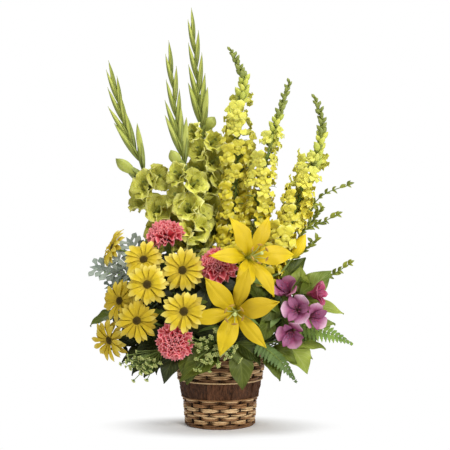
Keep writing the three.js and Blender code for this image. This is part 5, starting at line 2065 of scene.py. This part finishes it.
# By their finishes, the low front and low left leaves carry painted shade, and the right ones partly painted
# light.
LEAFY_STEMS = (
    LeafyStem("salal_front_left", [(-28, -66, 144), (-32, -94, 150), (-36, -102, 144)], [
        (1, (-54, -116, 86), (-0.3, -0.9, 0.4), 46), (0.4, (-90, -96, 108), (-0.5, -0.7, 0.6), 32),
    ], SHADED_LOW_LEAF),
    LeafyStem("salal_front_right", [(20, -68, 150), (28, -96, 152), (30, -102, 144)], [
        (1, (38, -112, 76), (0.2, -0.95, 0.3), 42), (0.5, (68, -100, 116), (0.6, -0.7, 0.5), 36),
    ], SHADED_LOW_LEAF),
    LeafyStem("salal_low_left", [(-68, -18, 140), (-96, -32, 146), (-114, -44, 138)], [
        (1, (-166, -60, 116), (-0.2, -0.5, 0.9), 34), (0.7, (-106, -88, 100), (-0.2, -0.8, 0.5), 32),
        (0.5, (-146, -16, 134), (-0.2, 0, 1), 34),
    ], PAINTED_SHADE_LEAF),
    LeafyStem("salal_left", [(-70, 0, 158), (-128, -8, 184), (-172, -14, 192)], [
        (1, (-226, -18, 174), (0, -0.5, 0.9), 34), (0.75, (-196, 26, 214), (-0.2, 0.3, 0.9), 36),
    ]),
    LeafyStem("salal_right", [(56, -4, 176), (112, -12, 206), (142, -16, 222)], [
        (1, (192, -28, 268), (0.1, -0.9, 0.4), 46), (0.9, (140, -16, 276), (-0.2, -0.8, 0.3), 42),
        (0.7, (214, -28, 196), (0.2, -0.7, 0.7), 38),
    ], FOLD_LEAF),
    LeafyStem("salal_low_right", [(66, -36, 142), (98, -46, 148), (116, -52, 142)], [
        (1, (146, -94, 102), (0.2, -0.8, 0.6), 48), (0.7, (182, -40, 136), (0.3, -0.5, 0.8), 38),
    ], FOLD_LEAF),
    LeafyStem("salal_back_left", [(-34, 44, 180), (-58, 68, 250), (-76, 80, 310)], [
        (1, (-104, 84, 374), (-0.2, 0.9, 0.3), 42), (0.8, (-24, 100, 330), (0.2, 0.9, 0.2), 42),
        (0.7, (-142, 84, 278), (-0.4, 0.9, 0.3), 42), (0.45, (-92, 108, 186), (-0.3, 0.8, 0.5), 44),
        (0.3, (-16, 116, 232), (0.1, 0.9, 0.4), 42),
    ]),
    LeafyStem("salal_back_right", [(34, 44, 180), (66, 64, 246), (88, 72, 300)], [
        (1, (124, 74, 362), (0.2, 0.9, 0.3), 42), (0.8, (48, 96, 322), (-0.2, 0.9, 0.2), 42),
        (0.7, (146, 84, 272), (0.4, 0.9, 0.3), 42), (0.45, (108, 108, 182), (0.3, 0.8, 0.5), 44),
        (0.3, (30, 118, 228), (-0.1, 0.9, 0.4), 42),
    ]),
)
# By their finishes, the front and left leaves carry painted shade, and the right ones partly painted light.
SIDE_LEAVES = (
    ((6, -96, 143), (-66, -124, 93), (-0.1, -0.8, 0.6), 44, SHADED_LOW_LEAF),
    ((-92, -40, 150), (-150, -70, 112), (-0.3, -0.8, 0.6), 36, PAINTED_SHADE_LEAF),
    ((-80, -62, 138), (-126, -96, 96), (-0.2, -0.8, 0.5), 38, PAINTED_SHADE_LEAF),
    ((-120, -24, 150), (-190, -30, 134), (-0.2, -0.6, 0.8), 34, PAINTED_SHADE_LEAF),
    ((-96, -10, 130), (-152, -40, 92), (-0.4, -0.7, 0.5), 36, PAINTED_SHADE_LEAF),
    ((-110, -10, 170), (-182, 0, 196), (-0.2, -0.8, 0.6), 36, PAINTED_SHADE_LEAF),
    ((-70, -84, 134), (-92, -112, 88), (-0.2, -0.9, 0.3), 34, PAINTED_SHADE_LEAF),
    ((84, -60, 138), (128, -92, 118), (0.3, -0.8, 0.5), 34, SALAL_LEAF),
    ((100, -34, 140), (160, -40, 120), (0.3, -0.7, 0.6), 36, SALAL_LEAF),
    ((110, -10, 180), (178, -10, 226), (0.2, -0.9, 0.4), 42, SALAL_LEAF),
    ((130, -20, 170), (198, -34, 178), (0.2, -0.7, 0.6), 36, FOLD_LEAF),
    ((74, -86, 136), (100, -110, 92), (0.3, -0.9, 0.4), 32, SALAL_LEAF),
    ((96, 0, 236), (150, 0, 290), (0.1, -0.9, 0.4), 40, SALAL_LEAF),
)
TWIGS = (
    ((90, 10, 250), (128, 4, 312), (156, 2, 348), (178, 0, 378)),
    ((84, 0, 240), (130, -8, 290), (170, -8, 322)),
    ((70, 14, 260), (100, 10, 330), (124, 6, 380)),
    ((40, 10, 250), (62, 10, 320), (84, 8, 372)),
)
FERNS = (
    Fern("fern_right", [(78, -8, 152)], (112, -36, 176), (226, -50, 144), (0.1, -0.6, 0.8), 62, leaflet=1.15),
    Fern("fern_low_right", [(42, -66, 148)], (62, -92, 150), (126, -112, 88), (0.3, -0.6, 0.6), 40, pairs=14,
         leaflet=1.3, look=DARK_FERN),
    Fern("fern_left", [(-70, 30, 170)], (-94, 44, 204), (-214, 40, 268), (-0.3, -0.6, 0.8), 66),
    Fern("fern_back_left", [(-20, 66, 150)], (-38, 92, 158), (-92, 152, 140), (-0.2, 0.5, 0.9), 70, pairs=13),
    Fern("fern_back_right", [(22, 66, 150)], (40, 92, 158), (98, 150, 142), (0.2, 0.5, 0.9), 70, pairs=13),
)
SPRIGS = (
    Sprig("sprig_upper_right", [(60, 14, 210), (112, 10, 300), (136, 6, 340)], [
        [(136, 6, 340), (176, 4, 396), (227, 0, 418)], [(136, 6, 340), (166, 4, 346), (207, 0, 366)],
    ]),
    Sprig("sprig_right", [(62, 26, 170), (120, 16, 214), (158, 12, 240)], [
        [(158, 12, 240), (192, 8, 256), (228, 2, 280)],
    ]),
)
UMBELS = (
    Umbel("bupleurum_front", [(-2, -78, 138), (-6, -104, 150)], [
        (-32, -120, 150), (-13, -124, 162), (8, -122, 154), (16, -122, 134), (-8, -128, 138),
        (-26, -131, 128), (-20, -127, 148), (-2, -126, 124),
    ]),
    Umbel("bupleurum_left", [(-54, -58, 142), (-96, -82, 138)], [
        (-120, -98, 126), (-134, -96, 116), (-148, -92, 124), (-128, -100, 106), (-112, -104, 116),
    ]),
)


# ---- studio
@dataclass(frozen=True)
class Lamp:
    """A square soft light, aimed at the arrangement's middle, in metres and watts."""

    name: str
    at: Point
    size: float
    power: float


@dataclass
class Studio:
    """A plain pale floor, soft lights, and the camera in front of the arrangement, in metres."""

    lens: float = 82.3
    sensor: float = 36
    eye: Point = (0.00875, -1.8, 0.347)
    aim: Point = (0, 0, 0.33)
    floor: float = 12
    room_light: float = 0.26  # how strongly the white room lights the arrangement
    lamps: Sequence[Lamp] = (
        Lamp("key_light", (1.1, -2.0, 1.7), 0.7, 42), Lamp("side_light", (1.7, -1.2, 0.35), 0.5, 13),
        Lamp("fill_light", (-1.9, -1.6, 0.9), 1.0, 8), Lamp("top_light", (0.05, -0.25, 2.6), 0.9, 32),
        Lamp("back_light", (-0.4, 1.8, 2.0), 1.4, 18),
    )

    def ground(self) -> None:
        """Builds the round floor."""
        shape = bmesh.new()
        bmesh.ops.create_circle(shape, cap_ends=True, radius=self.floor, segments=64)
        mesh = bpy.data.meshes.new("floor")
        shape.to_mesh(mesh)
        shape.free()
        mesh.materials.append(FLOOR_WHITE.material())
        ground = linked("floor", mesh)

    def lights(self) -> None:
        """Hangs the lamps, and turns each to the arrangement."""
        for lamp in self.lamps:
            light = bpy.data.lights.new(lamp.name, "AREA")
            light.shape = "SQUARE"
            light.size = lamp.size
            light.energy = lamp.power
            holder = linked(lamp.name, light)
            holder.location = lamp.at
            ray = Vector(self.aim) - Vector(lamp.at)
            holder.rotation_euler = ray.to_track_quat("-Z", "Y").to_euler()

    def room(self) -> None:
        """Makes the white room, which the camera sees brighter than it shines."""
        world = bpy.data.worlds.new("studio")
        world.use_nodes = True
        tree = Tree(world.node_tree)
        soft = tree.add("Background", {0: (1, 1, 1, 1), 1: self.room_light})
        plain = tree.add("Background", {0: (1, 1, 1, 1), 1: 1.0})
        seen = tree.add("LightPath").outputs["Is Camera Ray"]
        both = tree.add("MixShader", {0: seen, 1: soft.outputs[0], 2: plain.outputs[0]})
        tree.add("OutputWorld", {0: both.outputs[0]})
        bpy.context.scene.world = world

    def build(self) -> None:
        """Builds the floor, the lights, the room and the camera."""
        scene = bpy.context.scene
        scene.view_settings.view_transform = "Standard"
        self.ground()
        self.lights()
        self.room()
        camera = bpy.data.cameras.new("camera")
        camera.lens = self.lens
        camera.sensor_width = self.sensor
        viewer = linked("camera", camera)
        viewer.location = self.eye
        viewer.rotation_euler = (pi / 2, 0, 0)
        scene.camera = viewer


def main() -> None:
    """Builds every piece, in order; each mesh piece logs its face count as it is finished."""
    logging.basicConfig(level=logging.INFO, format="%(message)s")
    hearts = [(lily.at, lily.heart) for lily in LILIES]
    rounds = [(bloom.at, bloom.radius) for bloom in (*CARNATIONS, *DAISIES, *ALSTROEMERIAS)]
    for part in (
        Studio(), Basket(), *GLADIOLI, *SNAPDRAGONS, *LILIES, LILY_BUD, *CARNATIONS, *DAISIES, *DAISY_SPRAYS,
        *ALSTROEMERIAS, ALSTROEMERIA_STEM, *LEAFY_STEMS, *FERNS, *SPRIGS, *UMBELS, SilverLeaves(),
        Greens(SIDE_LEAVES, TWIGS), Filler([*hearts, *rounds]),
    ):
        part.build()
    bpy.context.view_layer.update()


if __name__ == "__main__":
    main()
